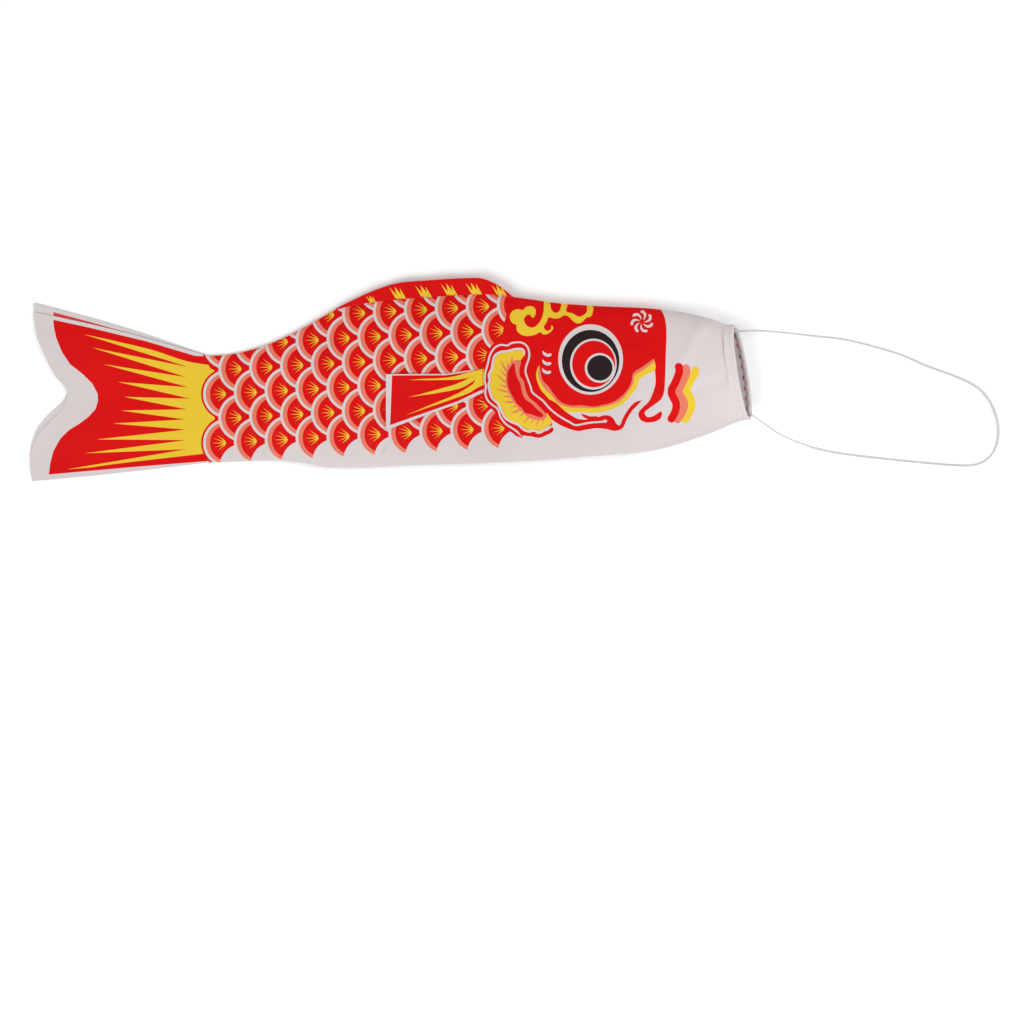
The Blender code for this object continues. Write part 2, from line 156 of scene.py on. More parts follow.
GILL_YELLOW: Table = (
    (73.7, 13.3), (73.5, 15.2), (72.3, 16.1), (68.9, 16.0), (64.9, 15.0), (61.2, 14.5),
    (58.5, 12.8), (57.3, 9.3), (56.6, 5.6), (55.3, 2.7), (55.7, -0.5), (55.1, -3.1),
    (55.8, -7.1), (57.4, -10.3), (59.8, -13.0), (62.2, -17.1), (64.2, -20.7), (67.0, -22.7),
    (70.7, -24.3), (74.2, -26.8), (77.1, -27.9), (79.2, -27.3), (83.0, -28.0), (86.1, -26.3),
    (88.8, -24.7), (89.1, -21.2), (86.4, -18.6), (84.3, -21.8), (80.6, -21.9), (75.8, -20.4),
    (72.6, -17.2), (69.9, -14.3), (66.7, -10.1), (65.1, -6.3), (64.0, -3.1), (64.0, 2.7),
    (64.9, 6.9), (68.9, 10.7), (71.5, 10.4),
)
GILL_SALMON: Table = (
    (68.9, 10.8), (72.1, 10.1), (71.3, 5.9), (71.5, 2.2), (73.7, -1.0), (74.6, -5.3),
    (76.6, -9.8), (80.0, -12.7), (83.2, -15.9), (86.1, -19.1), (86.4, -20.7), (84.3, -22.4),
    (80.6, -22.4), (75.8, -20.7), (72.3, -17.8), (69.7, -14.6), (66.5, -10.3), (64.9, -6.3),
    (63.7, -3.1), (63.7, 2.7), (64.6, 7.2),
)
GILL_CORE: Table = (
    (68.4, 9.1), (69.4, 3.2), (70.4, 0.6), (72.0, -2.6), (72.6, -6.3), (74.4, -10.6),
    (77.9, -13.2), (80.6, -15.9), (84.4, -19.4), (83.2, -21.0), (80.6, -20.3), (77.9, -19.2),
    (74.7, -18.6), (72.6, -15.9), (69.7, -13.2), (67.3, -9.0), (65.7, -5.8), (64.6, -2.1),
    (64.6, 2.2), (65.1, 4.8), (66.7, 7.5),
)
LIP_LOW: Table = (
    (65.7, -25.7), (69.4, -27.1), (73.7, -29.7), (77.9, -30.3), (82.2, -31.1), (85.9, -29.7),
    (88.5, -28.4), (89.7, -26.5),
)
EYEBROW: Table = (
    (85.1, 60.0), (84.9, 44.0), (84.7, 37.8), (83.2, 33.0), (80.6, 29.8), (77.9, 28.8),
    (75.2, 30.1), (73.8, 33.0), (74.7, 35.1), (76.8, 36.1), (78.9, 34.2), (80.3, 36.7),
    (80.0, 39.4), (77.9, 40.7), (75.2, 40.4), (73.1, 38.6), (70.5, 39.1), (67.3, 37.8),
    (65.9, 34.6), (67.3, 31.4), (69.5, 30.3), (69.9, 27.1), (72.6, 24.8), (75.8, 24.1),
    (80.0, 24.8), (82.6, 26.3), (84.5, 25.0), (86.9, 25.3), (89.3, 27.1), (90.0, 28.7),
    (89.1, 30.2), (88.8, 28.2), (87.5, 27.1), (85.8, 27.4), (84.8, 29.3), (86.4, 31.9),
    (87.5, 34.6), (90.1, 33.9), (93.3, 34.1), (96.2, 35.6), (98.6, 34.9), (101.0, 32.5),
    (103.4, 31.1), (106.1, 31.9), (108.2, 34.1), (110.9, 35.1), (112.0, 37.8), (112.2, 42.0),
    (112.2, 60.0), (108.7, 60.0), (108.7, 42.0), (108.7, 37.8), (106.6, 35.6), (103.9, 34.9),
    (100.8, 36.7), (97.6, 37.5), (97.3, 39.4), (98.1, 43.1), (98.1, 60.0), (94.6, 60.0),
    (94.6, 43.1), (94.4, 40.4), (93.3, 37.8), (91.2, 37.0), (89.1, 38.8), (88.3, 44.0),
    (88.3, 60.0),
)
HEAD_FRONT: Table = (
    (142.0, 60.0), (143.8, 46.0), (147.3, 42.0), (150.5, 37.4), (152.2, 32.3), (152.7, 25.5),
    (152.3, 13.8), (151.6, -4.1), (150.0, -10.3), (146.1, -13.8), (142.2, -16.6), (140.5, -18.3),
    (141.8, -20.6), (144.7, -20.5), (147.8, -18.7), (149.6, -17.5), (150.2, -19.0),
    (149.2, -21.6), (146.1, -23.3), (141.4, -23.7), (138.3, -22.2), (137.1, -18.9),
    (139.1, -15.8), (143.0, -11.9), (145.7, -5.6), (146.6, -1.0), (146.1, 6.1), (145.2, 11.1),
)
CHEEK_RED: Table = (
    (145.2, 11.1), (139.1, 6.8), (134.4, 3.7), (133.2, -1.7), (130.5, -6.4), (126.6, -10.3),
    (122.7, -12.7), (117.3, -14.1), (111.8, -15.0), (105.6, -14.2), (100.1, -14.4),
    (94.7, -12.7), (90.8, -8.8), (87.6, -4.1), (84.1, -0.2), (82.6, 6.8),
)
CHEEK_SALMON: Table = (
    (145.5, 11.0), (145.3, 9.3), (139.9, 5.3), (135.2, 2.2), (134.3, -2.1), (131.3, -7.2),
    (127.4, -11.5), (123.5, -13.6), (118.0, -15.0), (111.8, -15.9), (105.6, -15.6),
    (99.3, -15.4), (93.1, -13.4), (89.2, -8.8), (84.5, -4.1), (81.8, 2.2), (82.2, 7.6),
)
CHEEK_YELLOW: Table = (
    (145.8, 11.0), (146.4, 5.4), (140.6, 2.2), (137.5, -0.6), (136.0, -4.9), (132.8, -8.8),
    (129.0, -13.0), (124.3, -15.6), (118.0, -17.7), (111.8, -18.5), (105.6, -18.0),
    (99.3, -18.1), (94.7, -16.6), (90.8, -14.4), (86.9, -9.9), (83.0, -5.3), (80.6, 1.4),
    (81.2, 6.1),
)
CHEEK_FOOT: Table = ((81.0, 3.0), (83.4, -5.3), (87.2, -9.9), (91.0, -14.6), (95.4, -17.6))
JAW_LINE: Table = (
    (86.9, -18.9), (91.5, -22.4), (96.2, -25.0), (103.2, -27.3), (108.7, -26.5), (114.1, -25.8),
    (119.6, -26.3), (124.3, -27.3), (127.8, -25.8), (129.7, -21.6), (132.8, -16.6),
    (136.0, -13.4), (139.1, -11.5),
)
LIP_LOOP: Table = (
    (109.0, -21.8), (113.2, -21.3), (118.0, -19.8), (121.7, -20.2), (123.8, -22.3),
    (125.4, -24.9), (128.1, -25.7), (123.8, -28.0), (117.5, -26.3), (113.2, -25.7),
    (109.0, -26.0),
)
WHISKER: Table = ((105.2, -18.6), (107.4, -20.2), (110.6, -21.2), (115.0, -21.0))
LIP_LINE: Table = (
    (88.0, -11.0), (92.5, -15.1), (96.2, -18.4), (100.4, -21.2), (104.2, -22.9), (109.5, -23.2),
)
NOSE_STRIPES: tuple[Table, ...] = (
    ((167.8, 7.1), (168.4, 3.6), (165.5, -1.1), (163.9, -6.1), (166.6, -12.7), (165.1, -18.2),
     (162.1, -23.9)),
    ((162.6, 8.3), (163.7, 4.0), (161.6, -1.4), (159.5, -6.9), (162.4, -13.1), (161.2, -18.2),
     (157.6, -23.9)),
    ((158.9, 9.1), (159.6, 4.4), (157.9, -0.7), (155.3, -6.9), (157.9, -13.1), (157.4, -17.8),
     (154.3, -23.6)),
)
CRESCENT: Table = ((84.1, 16.0), (85.1, 14.3), (87.0, 13.4), (89.1, 14.0))
FIN_CLOTH: Table = (
    (-2.6, 3.0), (-2.6, -27.1), (-0.1, -27.1), (17.2, -20.5), (37.4, -13.2), (44.4, -10.4),
    (51.6, -7.0), (51.6, 5.9), (43.5, 5.1), (30.7, 3.1),
)
FIN_RED: Table = (
    (0.8, 2.3), (-0.3, -25.2), (12.6, -20.6), (25.0, -16.3), (37.4, -11.9), (43.7, -8.8),
    (53.0, -4.6), (53.0, 7.0), (43.5, 4.4), (30.7, 2.4),
)
FIN_RAYS: Table = (
    (53.0, 6.5), (45.2, 4.5), (40.6, 3.3), (35.9, 1.9), (31.2, 1.1), (25.0, 0.6), (18.0, 0.4),
    (10.2, -0.2), (18.0, -0.3), (25.0, -0.3), (32.8, -0.2), (37.4, 0.0), (42.1, 0.8),
    (47.2, 2.1), (43.7, 1.0), (39.8, -1.0), (35.1, -2.9), (28.9, -4.7), (22.7, -6.4),
    (16.5, -8.1), (9.8, -9.7), (17.2, -8.7), (25.0, -7.6), (32.8, -6.2), (37.4, -5.2),
    (41.3, -3.7), (44.4, -1.7), (47.2, 0.2), (45.6, -2.5), (42.1, -4.8), (38.2, -7.2),
    (32.8, -9.7), (26.6, -12.2), (19.6, -15.0), (13.3, -17.7), (8.3, -19.6), (14.9, -17.5),
    (21.1, -15.3), (28.1, -13.0), (34.3, -10.8), (39.8, -8.9), (43.7, -7.3), (47.6, -4.7),
    (53.0, -2.2),
)
TAIL_RED: Table = (
    (-90.7, 15.7), (-100.9, 13.0), (-108.7, 13.4), (-136.0, 21.5), (-167.1, 29.0),
    (-187.4, 33.4), (-187.0, 29.0), (-185.8, 23.5), (-182.7, 15.7), (-178.0, 8.7),
    (-171.0, 3.2), (-165.6, -2.2), (-162.8, -7.7), (-162.6, -11.6), (-164.0, -16.3),
    (-167.9, -20.5), (-172.6, -24.1), (-178.8, -27.9), (-183.5, -32.6), (-187.4, -39.6),
    (-189.0, -45.9), (-189.9, -52.5), (-143.8, -48.4), (-97.8, -44.7), (-90.7, -44.2),
)
RAY_TOP: Table = (
    (-101.3, 8.3), (-114.1, 10.6), (-132.1, 16.5), (-151.5, 21.2), (-170.6, 25.4),
)
RAY_TIPS: Table = (
    (-170.6, 25.4), (-165.6, 17.9), (-159.3, 8.7), (-151.5, -1.1), (-148.0, -9.4),
    (-149.8, -17.0), (-154.3, -24.2), (-163.2, -33.0), (-169.9, -40.7), (-179.6, -49.6),
)
RAY_NOTCHES: Table = (
    (-112.2, 7.1), (-113.4, 1.5), (-112.2, -4.1), (-111.4, -10.4), (-113.2, -16.3),
    (-114.0, -21.9), (-113.5, -27.6), (-113.5, -33.4), (-113.5, -38.5),
)
RAY_LOW: Table = (
    (-167.1, -48.6), (-151.5, -46.4), (-136.0, -44.6), (-120.4, -42.8), (-102.8, -40.8),
)
YELLOW_EDGE: Table = (
    (-103.8, -36.5), (-103.6, -31.8), (-101.3, -24.8), (-97.6, -21.3), (-101.3, -17.8),
    (-102.8, -12.4), (-102.8, -4.6), (-101.7, 1.7), (-97.8, 4.8), (-100.1, 6.3),
)
DORSAL_EDGE: Table = (
    (-31.3, 39.2), (-26.5, 41.6), (-20.4, 44.6), (-8.7, 49.8), (4.6, 53.8), (22.2, 55.3),
    (36.0, 56.2), (46.0, 56.5), (49.9, 56.3), (54.1, 55.1), (61.2, 51.4), (68.3, 45.6),
)


# ---------------------------------------------------------------- curves in the plan

def along(points: Table, place: np.ndarray) -> np.ndarray:
    """Smooth values through a table of (place, value) pairs.

    Args:
        points: The table, in rising places.
        place: Where the values are wanted.

    Returns:
        One value for each place.
    """
    places, values = np.array(points).T
    slopes = np.gradient(values, places)
    place = np.clip(place, places[0], places[-1])
    index = np.clip(np.searchsorted(places, place) - 1, 0, len(places) - 2)
    width = places[index + 1] - places[index]
    t = (place - places[index]) / width
    return (
        (2 * t**3 - 3 * t**2 + 1) * values[index]
        + (t**3 - 2 * t**2 + t) * width * slopes[index]
        + (3 * t**2 - 2 * t**3) * values[index + 1]
        + (t**3 - t**2) * width * slopes[index + 1]
    )


def ease(low: float, high: float, value: np.ndarray) -> np.ndarray:
    """A smooth step.

    Args:
        low: Where the step starts.
        high: Where it ends.
        value: The places asked about.

    Returns:
        0 below low, 1 above high, and smooth between.
    """
    t = np.clip((value - low) / (high - low), 0.0, 1.0)
    return t * t * (3 - 2 * t)


def unit(vectors: np.ndarray) -> np.ndarray:
    """Vectors of length 1 in the same directions."""
    return vectors / np.linalg.norm(vectors, axis=-1, keepdims=True)


def reaches(line: np.ndarray) -> np.ndarray:
    """How far along a line each of its points lies."""
    return np.concatenate(([0.0], np.cumsum(np.linalg.norm(np.diff(line, axis=0), axis=1))))


def spaced(line: np.ndarray, step: float) -> np.ndarray:
    """Put evenly spaced points on a line.

    Args:
        line: The line's own points, one row each.
        step: The wanted spacing.

    Returns:
        The new points, both ends among them.
    """
    reach = reaches(line)
    wanted = np.linspace(0.0, reach[-1], max(int(round(reach[-1] / step)), 2) + 1)
    return np.stack([np.interp(wanted, reach, column) for column in line.T], axis=1)


def smooth_line(points: Table, step: float = 0.9, closed: bool = False) -> np.ndarray:
    """A smooth curve through points.

    Args:
        points: The places it passes through, in two or three dimensions.
        step: Spacing of the result.
        closed: Whether the last point runs on to the first.

    Returns:
        Evenly spaced points; a closed curve doesn't repeat its first.
    """
    route = np.array(points, float)
    if closed:
        ends = np.vstack((route[-1:], route, route[:2]))
    else:
        ends = np.vstack((2 * route[:1] - route[1:2], route, 2 * route[-1:] - route[-2:-1]))
    t = np.linspace(0.0, 1.0, 16, endpoint=False)[:, None]
    dense = [
        0.5 * (2 * b + (c - a) * t + (2 * a - 5 * b + 4 * c - d) * t**2
               + (3 * b - a - 3 * c + d) * t**3)
        for a, b, c, d in zip(ends, ends[1:], ends[2:], ends[3:])
    ]
    dense.append(route[:1] if closed else route[-1:])
    line = spaced(np.vstack(dense), step)
    return line[:-1] if closed else line


def straight_line(points: Table, step: float = 1.5) -> np.ndarray:
    """A closed outline of straight runs, with points added on each run.

    Args:
        points: The corners.
        step: The longest wanted edge.

    Returns:
        The corners and the points between them.
    """
    route = np.array(points, float)
    runs = [spaced(np.vstack(pair), step)[:-1] for pair in zip(route, np.roll(route, -1, axis=0))]
    return np.vstack(runs)


def inside(outline: np.ndarray, places: np.ndarray) -> np.ndarray:
    """Which places lie inside an outline.

    Args:
        outline: A closed outline's corners.
        places: The places to test.

    Returns:
        True for each place inside, by winding number.
    """
    found = np.zeros(len(places), bool)
    low, high = outline.min(axis=0), outline.max(axis=0)
    near = np.flatnonzero(((places >= low) & (places <= high)).all(axis=1))
    if not len(near):
        return found
    x, y = places[near].T
    winding = np.zeros(len(near), int)
    for (ax, ay), (bx, by) in zip(outline, np.roll(outline, -1, axis=0)):
        turn = (bx - ax) * (y - ay) - (x - ax) * (by - ay)
        winding += ((ay <= y) & (by > y) & (turn > 0)).astype(int)
        winding -= ((ay > y) & (by <= y) & (turn < 0)).astype(int)
    found[near[winding != 0]] = True
    return found


def brush(points: Table, width: float, taper: tuple[float, float] = (0.0, 0.0),
          step: float = 0.6) -> np.ndarray:
    """The outline of a brush stroke.

    Args:
        points: The stroke's middle line.
        width: Its full width.
        taper: How long it narrows at its start and end; 0 leaves a round end.
        step: Spacing of the outline's points.

    Returns:
        The closed outline.
    """
    line = smooth_line(points, step)
    reach = reaches(line)
    radius = width / 2
    half = np.full(len(line), radius)
    for run, distance in zip(taper, (reach, reach[-1] - reach)):
        length = run or radius
        share = np.clip(distance / length, 0.0, 1.0)
        end = share**0.8 if run else np.sqrt(np.clip(1 - (1 - share) ** 2, 0.0, 1.0))
        half = np.minimum(half, radius * np.maximum(end, 0.04))
    ahead = unit(np.gradient(line, axis=0))
    across = np.stack((-ahead[:, 1], ahead[:, 0]), axis=1) * half[:, None]
    return np.vstack((line + across, (line - across)[::-1]))


def oval(centre: tuple[float, float], across: float, up: float, count: int = 72) -> np.ndarray:
    """An oval's outline.

    Args:
        centre: Its middle.
        across: Half its width.
        up: Half its height.
        count: How many corners it has.

    Returns:
        The closed outline.
    """
    turn = np.linspace(0.0, math.tau, count, endpoint=False)
    return np.stack((centre[0] + across * np.cos(turn), centre[1] + up * np.sin(turn)), axis=1)


# ---------------------------------------------------------------- the body's form

@dataclass(frozen=True)
class BodyForm:
    """The lying body: an outline of two seams with a flank bellied out on each side."""

    length: float = 296.5
    depth: float = 94.0
    mouth_x: float = 195.0
    hem_width: float = 5.6
    gap: float = 0.3
    layer: float = 0.5
    lean: float = -0.155
    tilt: float = 3.2
    lean_start: float = 0.75
    power: float = 1.8
    edge_rise: float = 0.13
    leaf_rise: float = 0.26
    root_blend: tuple[float, float] = (-104.0, -94.0)

    @property
    def root_x(self) -> float:
        """Where the tail starts."""
        return self.mouth_x - self.length

    @property
    def run(self) -> float:
        """Length of the flanks, from the tail root to the hem."""
        return self.length - self.hem_width - self.gap

    @property
    def seam_rise(self) -> float:
        """Half the distance between the two flanks inside the seams."""
        return (self.layer + self.gap) / 2

    def back(self, station: np.ndarray) -> np.ndarray:
        """Height of the back seam on the outline."""
        return along(BACK_LINE, station) * self.depth

    def belly(self, station: np.ndarray) -> np.ndarray:
        """Height of the belly seam on the outline."""
        return along(BELLY_LINE, station) * self.depth

    def half(self, station: np.ndarray) -> np.ndarray:
        """Half the outline's height."""
        return (self.back(station) - self.belly(station)) / 2

    def seam_plane(self, station: np.ndarray) -> np.ndarray:
        """Height of the seams' middle plane above the floor."""
        lift = along(LOWER_LIFT, station) * (self.layer + self.gap)
        return self.layer / 2 + lift + along(LOWER_BULGE, station) + self.seam_rise

    def shift(self, station: np.ndarray, offset: np.ndarray, around: np.ndarray) -> np.ndarray:
        """How far the mouth's lean and tilt carry a place forward.

        Args:
            station: The place along the body.
            offset: Its distance above the section's middle.
            around: Its angle round the section.

        Returns:
            The forward shift.
        """
        ramp = ease(self.lean_start, 1.0, station)
        return ramp * (self.lean * offset - self.tilt * np.sin(around))

    def plan_x(self, station: np.ndarray, offset: np.ndarray, around: np.ndarray) -> np.ndarray:
        """Distance along the body of a place on the cloth, as shift() takes it."""
        return self.root_x + station * self.run + self.shift(station, offset, around)

    def seam(self, station: np.ndarray, back: bool, inset: float = 0.0) -> np.ndarray:
        """A line along a seam in the plan.

        Args:
            station: The places along the body.
            back: True for the back seam and False for the belly seam.
            inset: How far inside the seam the line runs.

        Returns:
            One row of x and y for each place.
        """
        y = self.back(station) - inset if back else self.belly(station) + inset
        half = self.half(station) * (1 if back else -1)
        return np.stack((self.plan_x(station, half, np.zeros_like(station)), y), axis=1)

    def rise(self, station: np.ndarray, x: np.ndarray, sine: np.ndarray,
             flank: Flank) -> np.ndarray:
        """How far a flank stands off the seams' middle plane.

        Args:
            station: The place along the body.
            x: Its distance along the body.
            sine: 0 at the seams and 1 halfway between them.
            flank: Which flank.

        Returns:
            The distance from the plane to the middle of the cloth.
        """
        ramp = ease(self.lean_start, 1.0, station)
        power = self.power + (1.0 - self.power) * ramp
        bulge = along(UPPER_BULGE if flank is Flank.RIGHT else LOWER_BULGE, station)
        sewn = self.edge_rise + (self.seam_rise - self.edge_rise) * ease(0.0, 0.5, sine)
        hooped = self.seam_rise * sine
        inner = sewn + (hooped - sewn) * ease(0.9, 1.0, station) + bulge * sine**power
        share = ease(*self.root_blend, x)
        return self.leaf_rise + (inner - self.leaf_rise) * share

    def height(self, places: np.ndarray, flank: Flank) -> np.ndarray:
        """Height of a flank's cloth above the floor.

        Args:
            places: Places in the plan, one row each.
            flank: Which flank.

        Returns:
            The height of the middle of the cloth at each place.
        """
        x, y = places.T
        station = (x - self.root_x) / self.run
        for _ in range(6):
            half = self.half(station)
            offset = np.clip(y - self.belly(station) - half, -half, half)
            around = np.arccos(offset / half)
            moved = self.shift(station, offset, flank.value * around)
            station = (x - self.root_x - moved) / self.run
        sine = np.maximum(np.sin(around), 0.0)
        return self.seam_plane(station) + flank.value * self.rise(station, x, sine, flank)

    def rim(self, around: np.ndarray, inward: np.ndarray, behind: np.ndarray) -> np.ndarray:
        """Places on the mouth.

        Args:
            around: Angle round the rim, 0 at the back and half a turn at the belly.
            inward: Distance in from the flanks' cloth.
            behind: Distance behind the rim.

        Returns:
            One row of x, y and z for each.
        """
        half, middle = self.half(1.0), (self.back(1.0) + self.belly(1.0)) / 2
        upper = self.seam_rise + UPPER_BULGE[-1][1]
        lower = self.seam_rise + LOWER_BULGE[-1][1]
        depth = np.where(np.sin(around) > 0, upper, lower)
        normal = unit(np.stack((depth * np.cos(around), half * np.sin(around)), axis=-1))
        offset = half * np.cos(around)
        x = self.mouth_x + self.shift(1.0, offset, around) - behind
        y = middle + offset - normal[..., 0] * inward
        z = self.seam_plane(1.0) + depth * np.sin(around) - normal[..., 1] * inward
        return np.stack((x, y, z), axis=-1)


@dataclass(frozen=True)
class Creases:
    """Soft folds and puckers that a light printed cloth takes as it lies."""

    pucker: float = 0.16
    pucker_pitch: float = 8.5
    pucker_reach: float = 5.0
    roll: float = 0.42
    ripple: float = 0.5
    tail_fade: tuple[float, float] = (-102.0, -92.0)
    mouth_fade: tuple[float, float] = (186.0, 190.0)
    flutter_run: tuple[float, float] = (-190.0, -104.0)
    calm_edge: tuple[float, float] = (2.0, 12.0)
    fold_edge: tuple[float, float] = (0.5, 5.0)
    stitched_edge: float = 0.8
    folds: tuple[tuple[float, float, float, float, float, float], ...] = (
        # each fold's two ends, its height and its half width
        (-44.0, -20.0, -41.0, -47.0, 0.55, 3.2), (-6.0, -28.0, -2.0, -45.0, 0.35, 3.0),
        (182.7, 26.9, 185.5, 15.9, -0.4, 2.0), (177.7, 5.3, 181.3, -3.9, -0.4, 2.0),
        (70.0, 30.0, 122.0, 38.0, 0.5, 5.0), (150.0, -8.0, 180.0, -17.0, 1.0, 3.5),
        (86.0, -30.0, 132.0, -34.0, 0.7, 3.0), (172.0, 30.0, 160.0, 8.0, 1.0, 3.2),
        (168.0, -6.0, 184.0, 0.0, -0.8, 2.5), (20.0, 20.0, 34.0, -36.0, 0.5, 4.0),
        (-70.0, 8.0, -58.0, -34.0, 0.45, 4.0), (120.0, -22.0, 138.0, -38.0, 0.8, 3.0),
    )

    def lift(self, places: np.ndarray, form: BodyForm) -> np.ndarray:
        """How far the cloth stands off its smooth form.

        Args:
            places: Places in the plan, one row each.
            form: The body's smooth form.

        Returns:
            The outward distance at each place.
        """
        x, y = places.T
        station = (x - form.root_x) / form.run
        edge = np.maximum(np.minimum(form.back(station) - y, y - form.belly(station)), 0.0)
        sewn = ease(*self.tail_fade, x) * (1 - ease(*self.mouth_fade, x))
        wave = np.sin(math.tau * x / self.pucker_pitch + 1.3 * np.sin(x / 17.0) + 0.2 * y)
        fade = np.exp(-edge / self.pucker_reach) * (1 - np.exp(-edge / self.stitched_edge))
        total = self.pucker * wave * fade
        total += (self.roll * ease(*self.calm_edge, edge)
                  * np.sin(0.071 * x + 0.05 * y) * np.sin(0.033 * x - 0.11 * y))
        for ax, ay, bx, by, size, reach in self.folds:
            run = np.array((bx - ax, by - ay))
            share = np.clip(((x - ax) * run[0] + (y - ay) * run[1]) / (run @ run), 0.0, 1.0)
            away = np.hypot(x - ax - share * run[0], y - ay - share * run[1])
            total += size * np.exp(-((away / reach) ** 2)) * ease(*self.fold_edge, edge)
        return total * sewn

    def flutter(self, places: np.ndarray) -> np.ndarray:
        """The tail leaves' shallow ripples, which always lift the cloth off the floor.

        Args:
            places: Places in the plan, one row each.

        Returns:
            The lift at each place.
        """
        x, y = places.T
        out = 1 - ease(*self.flutter_run, x)
        wave = 0.5 + 0.5 * np.sin(0.16 * y + 0.045 * x + 0.8)
        small = 0.5 + 0.5 * np.sin(0.41 * y - 0.06 * x)
        return self.ripple * out * (wave + 0.25 * small)


FORM = BodyForm()
CREASES = Creases()


# ---------------------------------------------------------------- print

@dataclass
class Print:
    """Printed shapes, each laid over those before it."""

    shapes: list[tuple[Ink, np.ndarray]] = field(default_factory=list)

    def add(self, ink: Ink, outline: np.ndarray) -> None:
        """Lay one more shape on top."""
        self.shapes.append((ink, np.asarray(outline, float)))

    def ink_at(self, places: np.ndarray) -> np.ndarray:
        """The ink that shows at each place.

        Args:
            places: Places in the plan, one row each.

        Returns:
            One Ink value for each place.
        """
        shown = np.full(len(places), Ink.CLOTH.value)
        for ink, outline in self.shapes:
            shown[inside(outline, places)] = ink.value
        return shown

    def edges(self) -> list[tuple[np.ndarray, np.ndarray]]:
        """The shapes' edges, without those that a later shape hides.

        Returns:
            Pairs of edge ends.
        """
        kept = []
        boxes = [(outline.min(axis=0), outline.max(axis=0)) for _, outline in self.shapes]
        for index, (_, outline) in enumerate(self.shapes):
            first, second = outline, np.roll(outline, -1, axis=0)
            hidden = np.zeros(len(outline), bool)
            low, high = boxes[index]
            for later in range(index + 1, len(self.shapes)):
                other_low, other_high = boxes[later]
                if (other_low > high).any() or (other_high < low).any():
                    continue
                cover = self.shapes[later][1]
                hidden |= inside(cover, first) & inside(cover, second)
            kept += [(a, b) for a, b, gone in zip(first, second, hidden) if not gone]
        return kept


@dataclass(frozen=True)
class Scales:
    """The scale pattern: rings and rays on a slanting lattice, those nearest the head on top."""

    pitch: float = 17.17
    row_pitch: float = 13.55
    start: tuple[float, float] = (-82.4, 6.16)
    slant: float = 0.0535
    radius: float = 13.3
    white: float = 1.5
    salmon: float = 2.35
    salmon_shift: float = 0.75
    rays: tuple[tuple[float, float], ...] = (
        (122.0, 8.9), (142.0, 7.3), (161.0, 8.0), (181.0, 8.1), (201.0, 7.2), (220.0, 6.7),
        (240.0, 7.6),
    )
    ray_root: float = 1.85
    heart: float = 0.4
    arc: tuple[float, float] = (95.0, 265.0)
    arc_points: int = 30
    closing: float = 7.0
    top_row: int = -3
    last_row: int = 3
    columns: int = 11
    head_x: float = 78.0
    last_row_head_x: float = 66.0
    border: float = 1.1
    border_x: float = -74.0
    plain_x: float = -88.0
    plain_shrink: float = 0.7

    def centre(self, row: int, column: int) -> tuple[float, float]:
        """Where a scale's rays meet.

        Args:
            row: Counted down from the middle row, 0.
            column: Counted from the tail.

        Returns:
            The place in the plan.
        """
        x = self.start[0] + self.pitch * (column - (row % 2) / 2)
        return x, self.start[1] + self.slant * (x - self.start[0]) - self.row_pitch * row

    def disc(self, centre: tuple[float, float], radius: float) -> np.ndarray:
        """A scale's round edge, closed towards the head.

        Args:
            centre: The scale's centre.
            radius: The round edge's radius.

        Returns:
            The closed outline.
        """
        turn = np.radians(np.linspace(*self.arc, self.arc_points))
        arc = np.stack((np.cos(turn), np.sin(turn)), axis=1) * radius + centre
        return np.vstack((arc, [(centre[0] + self.closing, centre[1])]))

    def star(self, centre: tuple[float, float]) -> np.ndarray:
        """The rays of one scale, joined at its centre.

        Args:
            centre: The scale's centre.

        Returns:
            The closed outline.
        """
        polar = [(0.0, -self.heart), self.rays[0]]
        for before, ray in zip(self.rays, self.rays[1:]):
            polar += [((before[0] + ray[0]) / 2, self.ray_root), ray]
        turn, reach = np.array(polar).T
        turn = np.radians(turn)
        return np.stack((np.cos(turn), np.sin(turn)), axis=1) * reach[:, None] + centre

    def paint(self, printing: Print) -> None:
        """Lay every scale, from the tail to the head, with a plain row along the belly.

        Args:
            printing: What the scales are added to.
        """
        places = sorted(
            (self.centre(row, column), row)
            for row in range(self.top_row, self.last_row + 2) for column in range(self.columns)
        )
        places = [
            (centre, row) for centre, row in places
            if centre[0] < (self.last_row_head_x if row == self.last_row else self.head_x)
        ]
        for centre, row in places:
            if centre[0] < self.border_x and row <= self.last_row:
                printing.add(Ink.RED, self.disc(centre, self.radius + self.border))
        for centre, row in places:
            if row > self.last_row:
                if centre[0] > self.plain_x:
                    printing.add(Ink.CLOTH, self.disc(centre, self.radius - self.plain_shrink))
                continue
            inner = self.radius - self.white
            red = (centre[0] + self.salmon_shift, centre[1])
            printing.add(Ink.CLOTH, self.disc(centre, self.radius))
            printing.add(Ink.SALMON, self.disc(centre, inner))
            printing.add(Ink.RED, self.disc(red, inner - self.salmon + self.salmon_shift))
            printing.add(Ink.YELLOW, self.star(centre))


